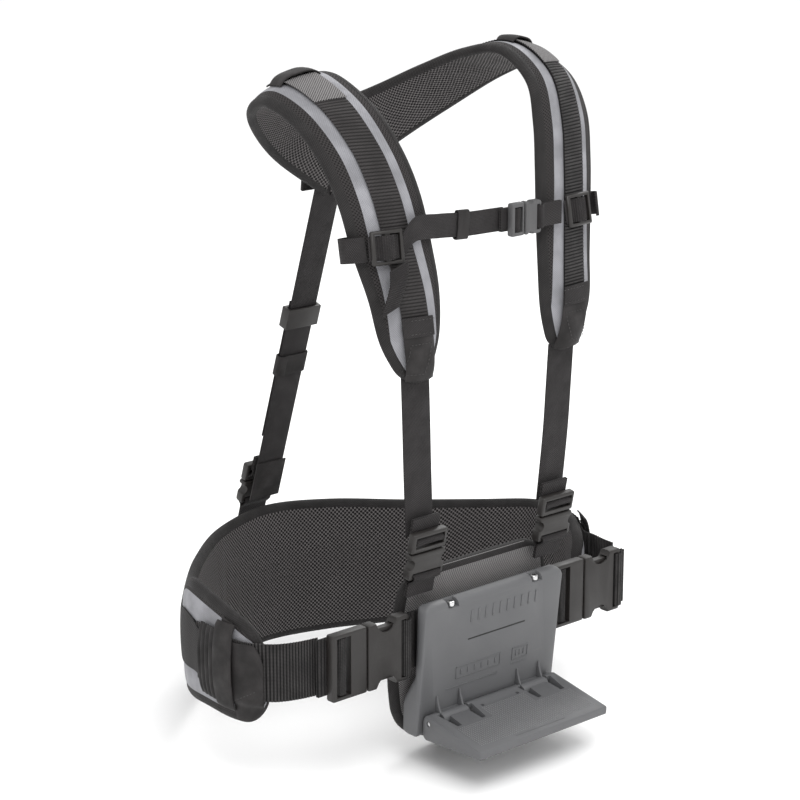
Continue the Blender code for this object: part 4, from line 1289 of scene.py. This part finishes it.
# %% Round the moulded parts
def moulded(name, node, material, body, radius=0.0005, segments=2, cutters=()):
    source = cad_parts[node]
    piece = bpy.data.objects.new(name, source.data.copy())
    SCENE.collection.objects.link(piece)
    pick(piece)
    bpy.ops.object.mode_set(mode="EDIT")
    bpy.ops.mesh.select_all(action="SELECT")
    bpy.ops.mesh.remove_doubles(threshold=0.000004)
    bpy.ops.mesh.dissolve_limited(angle_limit=math.radians(1.5))
    bpy.ops.object.mode_set(mode="OBJECT")
    for cutter in cutters:
        cut = piece.modifiers.new("cut", "BOOLEAN")
        cut.operation = "DIFFERENCE"
        cut.object = cutter
        apply_modifiers(piece)
        bpy.data.objects.remove(cutter)
    corner = piece.modifiers.new("mould corners", "BEVEL")
    corner.width = radius
    corner.segments = segments
    corner.angle_limit = math.radians(38)
    apply_modifiers(piece)
    face_outwards(piece)
    smooth(piece, 40)
    return dress(piece, material, body, node)


def mould_buckles():
    for word, latch, socket in (
        ("right_belt", "right_belt_release", HARNESS), ("left_belt", HARNESS, "left_belt_release"),
        ("right_strap", "right_strap_release", HARNESS), ("left_strap", "left_strap_release", HARNESS),
        ("back_strap", "back_strap_release", HARNESS),
    ):
        moulded(f"{word}_latch_half", f"{word}_latch", BUCKLE, latch)
        moulded(f"{word}_socket_half", f"{word}_socket", BUCKLE, socket)
    moulded("chest_latch_half", "chest_latch", CHEST, "chest_release", 0.0004)
    moulded("chest_socket_half", "chest_socket", CHEST, "chest_strap", 0.0004)
    for word in ("right", "left"):
        moulded(f"{word}_adjuster", f"{word}_chest_adjuster", BUCKLE, "chest_strap", 0.0004)
    moulded("back_slide_ring", "back_slide", BUCKLE, "back_slide_body", 0.0006)


mould_buckles()
print("plastic parts rounded")

# %% [markdown]
# ## Plate and rest details
#
# The plate's face leans forward. Its marks are plain raised ribs and frames. Each lug is stiffened by
# two curved fins, and the rest has a recess for each fin, so that it can fold flat against the plate.
# The top of the rest is covered with small raised dots, so that what is set down on it doesn't slip.

# %% Detail the plate and the rest
FACE_LOW, FACE_TOP = Vector((0, -0.1556, -0.090)), Vector((0, -0.1690, 0.030))
FACE_UP = (FACE_TOP - FACE_LOW).normalized()
FACE_OUT = Vector((0, -FACE_UP.z, FACE_UP.y))
HINGE = Vector((0, -0.1655, -0.0745))
REST_BACK, REST_FRONT = HINGE + Vector((0, 0, 0.0075)), HINGE + Vector((0, -0.0645, -0.0045))
REST_ALONG = (REST_FRONT - REST_BACK).normalized()
REST_OUT = Vector((0, REST_ALONG.z, -REST_ALONG.y))
LUG_X = 0.047
RAISED = 0.0005


def to_face(points):
    """x, height up the plate's face and distance out of it, to the part's own frame."""
    up, out = np.array(FACE_UP), np.array(FACE_OUT)
    return np.array(FACE_LOW) + points[:, :1] * (1, 0, 0) + points[:, 1:2] * up + points[:, 2:] * out


def to_rest(points):
    """x, distance from the hinge and height above the rest's top, to the part's own frame."""
    along, out = np.array(REST_ALONG), np.array(REST_OUT)
    return np.array(REST_BACK) + points[:, :1] * (1, 0, 0) + points[:, 1:2] * along + points[:, 2:] * out


def block(low, high, place, corner=0.0002):
    """A small box with soft corners, between two corners given in the place's own terms."""
    deselect()
    bpy.ops.mesh.primitive_cube_add(size=1)
    piece = bpy.context.object
    low, high = np.array(low), np.array(high)
    set_points(piece, low + (high - low) * (get_points(piece) + 0.5))
    if corner:
        soft = piece.modifiers.new("soft", "BEVEL")
        soft.width = corner
        soft.segments = 2
        apply_modifiers(piece)
    set_points(piece, place(get_points(piece)))
    face_outwards(piece)
    return piece


def joined(name, parts):
    deselect()
    for part in parts:
        part.select_set(True)
    bpy.context.view_layer.objects.active = parts[0]
    if len(parts) > 1:
        bpy.ops.object.join()
    piece = bpy.context.object
    piece.name = piece.data.name = name
    smooth(piece, 40)
    return piece


def raised_frame(left, right, low, high, line=0.0009):
    sides = [(left, right, low, low + line), (left, right, high - line, high)]
    sides += [(left, left + line, low, high), (right - line, right, low, high)]
    return [block((a, c, -0.0002), (b, d, RAISED), to_face) for a, b, c, d in sides]


def plate_marks():
    parts = [block((x - 0.0011, 0.0965, -0.0002), (x + 0.0011, 0.1075, RAISED), to_face)
             for x in np.linspace(-0.027, 0.049, 10)]
    parts += raised_frame(-0.040, 0.012, 0.046, 0.0575) + raised_frame(0.026, 0.045, 0.046, 0.0575)
    for x in (-0.034, -0.026, -0.018, -0.010, -0.002, 0.006, 0.031, 0.0355, 0.040):
        parts.append(block((x - 0.0007, 0.0492, -0.0002), (x + 0.0007, 0.0543, RAISED), to_face))
    parts.append(block((-0.050, 0.0384, -0.0002), (0.010, 0.0393, RAISED), to_face))
    parts.append(block((0.026, 0.0420, -0.0002), (0.044, 0.0428, RAISED), to_face))
    dress(joined("plate_marks", parts), PLATE, HARNESS)
    # The engraved line is a thin near-black strip just proud of the face, painted shade for the groove.
    slot = block((-0.029, 0.0800, -0.0004), (0.038, 0.0813, 0.00012), to_face, 0.0)
    dress(joined("plate_line_shade", [slot]), PAINTED_RECESS_SHADE, HARNESS)


def fin(x):
    """A curved stiffening fin over a lug, thinnest at its top."""
    piece, along, across = flat_grid("fin", 10, 2)
    reach = 0.0014 + 0.0080 * (1 - along) ** 1.6
    up = 0.0195 + 0.0165 * along
    set_points(piece, to_face(np.stack([x + 0 * along, up, -0.0004 + (reach + 0.0004) * across], -1)))
    wall = piece.modifiers.new("wall", "SOLIDIFY")
    wall.thickness = 0.0018
    wall.offset = 0
    soft = piece.modifiers.new("soft", "BEVEL")
    soft.width = 0.0003
    soft.segments = 2
    soft.angle_limit = math.radians(50)
    apply_modifiers(piece)
    face_outwards(piece)
    return piece


def rest_recesses():
    """The recess on each side of a lug, wide at the hinge and narrow in front, and a hole beside it."""
    cutters = []
    for lug in (-LUG_X, LUG_X):
        for side in (-1, 1):
            cutter = block((-1, 0.002, -0.0085), (1, 0.0245, 0.004), lambda points: points, 0.0)
            points = get_points(cutter)
            near = points[:, 1] < 0.01
            outer = np.where(near, 0.0200, 0.0160)
            inner = np.where(near, 0.0100, 0.0115)
            x = np.where(points[:, 0] * side > 0, outer, inner)
            points[:, 0] = lug + side * x
            set_points(cutter, to_rest(points))
            face_outwards(cutter)
            cutters.append(cutter)
        hole = lug - math.copysign(0.0265, lug)
        cutters.append(block((hole - 0.0016, 0.0075, -0.0050), (hole + 0.0016, 0.0107, 0.002), to_rest, 0.0))
    return cutters


def rest_dots():
    """One low dot, repeated in rows by two arrays, leaving the corners round the lugs plain."""
    pitch = 0.0022
    deselect()
    bpy.ops.mesh.primitive_cone_add(vertices=6, radius1=0.00070, radius2=0.00040, depth=0.0006)
    piece = bpy.context.object
    columns, rows = 61, 21
    for label, count, offset in (("across", columns, (pitch, 0, 0)), ("along", rows, (0, pitch, 0))):
        array = piece.modifiers.new(label, "ARRAY")
        array.count = count
        array.use_relative_offset = False
        array.use_constant_offset = True
        array.constant_offset_displace = offset
    apply_modifiers(piece)
    points = get_points(piece)
    dot = np.repeat(np.arange(columns * rows), len(points) // (columns * rows))
    x = points[:, 0] - (columns - 1) * pitch / 2
    along = points[:, 1] + 0.0130
    centre_x = (dot % columns) * pitch - (columns - 1) * pitch / 2
    centre_along = (dot // columns) * pitch + 0.0130
    plain = (np.abs(np.abs(centre_x) - LUG_X) < 0.0225) & (centre_along < 0.0275)
    set_points(piece, to_rest(np.stack([x, along, points[:, 2] + 0.00015], -1)))
    pick(piece)
    bpy.ops.object.mode_set(mode="EDIT")
    bpy.ops.mesh.select_all(action="DESELECT")
    bpy.ops.object.mode_set(mode="OBJECT")
    piece.data.vertices.foreach_set("select", plain)
    bpy.ops.object.mode_set(mode="EDIT")
    bpy.ops.mesh.delete(type="VERT")
    bpy.ops.object.mode_set(mode="OBJECT")
    dress(joined("rest_dots", [piece]), PALE_RAISED, "tool_rest_body")


def screw_crosses():
    for x in (-LUG_X * 1.04, LUG_X * 1.04):
        to_screw = lambda points: points + np.array([x, -0.1640, 0.0295])
        # Each screw head's cross recess is a flat near-black cross, painted shade.
        parts = [block((-0.0022, -0.0005, -0.0004), (0.0022, 0.0005, 0.00008), to_screw, 0.0),
                 block((-0.0005, -0.0022, -0.0004), (0.0005, 0.0022, 0.00008), to_screw, 0.0)]
        dress(joined("screw_cross_shade_a" if x < 0 else "screw_cross_shade_b", parts), PAINTED_RECESS_SHADE, HARNESS)


def plate_details():
    moulded("tool_plate_body", "tool_plate", PLATE, HARNESS, 0.0007)
    moulded("tool_rest_wedge", "tool_rest", PLATE, "tool_rest_body", 0.0004, 2, rest_recesses())
    plate_marks()
    fins = [fin(lug + side * 0.0130) for lug in (-LUG_X, LUG_X) for side in (-1, 1)]
    dress(joined("lug_fins", fins), PLATE, HARNESS)
    rest_dots()
    bar = block((-0.030, 0.0600, -0.0002), (0.028, 0.0609, 0.0004), to_rest)
    dress(joined("rest_line", [bar]), PLATE, "tool_rest_body")
    for word in ("right", "left"):
        moulded(f"{word}_screw_head", f"{word}_plate_screw", STEEL, HARNESS, 0.0009, 3)
    screw_crosses()
    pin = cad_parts["hinge_pin"]
    pin.data.materials.clear()
    pin.data.materials.append(STEEL)


plate_details()
print("plate and rest detailed")

# %% [markdown]
# ## Stitching
#
# One stitch is modelled and copied along each row. Rows close the patches and cross tapes at the shoulder
# tips and the covers at the ends of the hip pad.

# %% Sew the seams
STITCH = 0.0034


def stitches(name, rows, body):
    """Rows of stitches: each row is a list of points with the direction that is outwards there."""
    deselect()
    bpy.ops.mesh.primitive_uv_sphere_add(segments=6, ring_count=4, radius=1)
    one = bpy.context.object
    shape = get_points(one) * (0.36 * STITCH, 0.00032, 0.00030)
    faces = [tuple(face.vertices) for face in one.data.polygons]
    bpy.data.objects.remove(one)
    points, polygons = [], []
    for path, outward in rows:
        path, outward = np.asarray(path, float), np.asarray(outward, float)
        run = run_of(path)
        count = max(1, int(run[-1] / STITCH))
        for k in range(count):
            at = (k + 0.5) * run[-1] / count
            centre, z = (np.array([np.interp(at, run, values[:, i]) for i in range(3)]) for values in (path,
                outward))
            ahead = np.array([np.interp(min(at + 0.001, run[-1]), run, path[:, i]) for i in range(3)])
            behind = np.array([np.interp(max(at - 0.001, 0), run, path[:, i]) for i in range(3)])
            x = unit(ahead - behind)
            z = unit(z - x * (z @ x))
            polygons += [tuple(v + len(points) * len(shape) for v in face) for face in faces]
            points.append(centre + shape @ np.stack([x, np.cross(z, x), z]))
    mesh = bpy.data.meshes.new(name)
    mesh.from_pydata(np.vstack(points).tolist(), [], polygons)
    piece = bpy.data.objects.new(name, mesh)
    SCENE.collection.objects.link(piece)
    set_uv(piece, np.vstack(points)[:, 0], np.vstack(points)[:, 2])
    smooth(piece, 80)
    print(name, "has", len(points), "stitches")
    return dress(piece, THREAD, body)


def seam(plan, corners, lift, closed=True):
    """A row of stitches on a pad through corners given in metres along and across."""
    corners = [*corners, corners[0]] if closed else corners
    x, y = [], []
    for (a, b), (c, d) in zip(corners[:-1], corners[1:]):
        part = np.linspace(0, 1, 14)
        x.append(a + (c - a) * part)
        y.append(b + (d - b) * part)
    x, y = np.concatenate(x), np.concatenate(y)
    low = plan.at(x, y, lift(x, y))
    return low, unit(plan.at(x, y, lift(x, y) + 0.01) - low)


def sew_pads():
    for side, word in ((-1, "right"), (1, "left")):
        plan = SHOULDERS[side]
        on_tip, on_cross = tight_lift(plan, 0.0041), tight_lift(plan, 0.0053)
        middle = 0.5 * plan.width(np.array([0.03]))[0]
        rows = [seam(plan, [(0.0425, middle - 0.013), (0.0425, middle + 0.013)], on_cross, False),
                seam(plan, [(0.0535, middle - 0.013), (0.0535, middle + 0.013)], on_cross, False),
                seam(plan, [(0.009, middle - 0.010), (0.009, middle + 0.010), (0.034, middle + 0.011),
                            (0.034, middle - 0.011)], on_tip)]
        stitches(f"{word}_tip_seam", rows, HARNESS)
    rows = []
    lift = lambda x, y: over_webbing(x, y, 0.0015) + 0.0004
    for near, far in ((0.0075, 0.037), (HIP_PAD.length - 0.0075, HIP_PAD.length - 0.037)):
        low, high = 0.0105, 0.0560
        rows.append(seam(HIP_PAD, [(near, 0.030), (far, low + 0.004), (far, high)], lift, False))
    stitches("hip_cover_seams", rows, HARNESS)


sew_pads()
print("seams sewn")

# %% [markdown]
# ## The end
#
# Nothing more is built.

# %% Finish
print("finished")
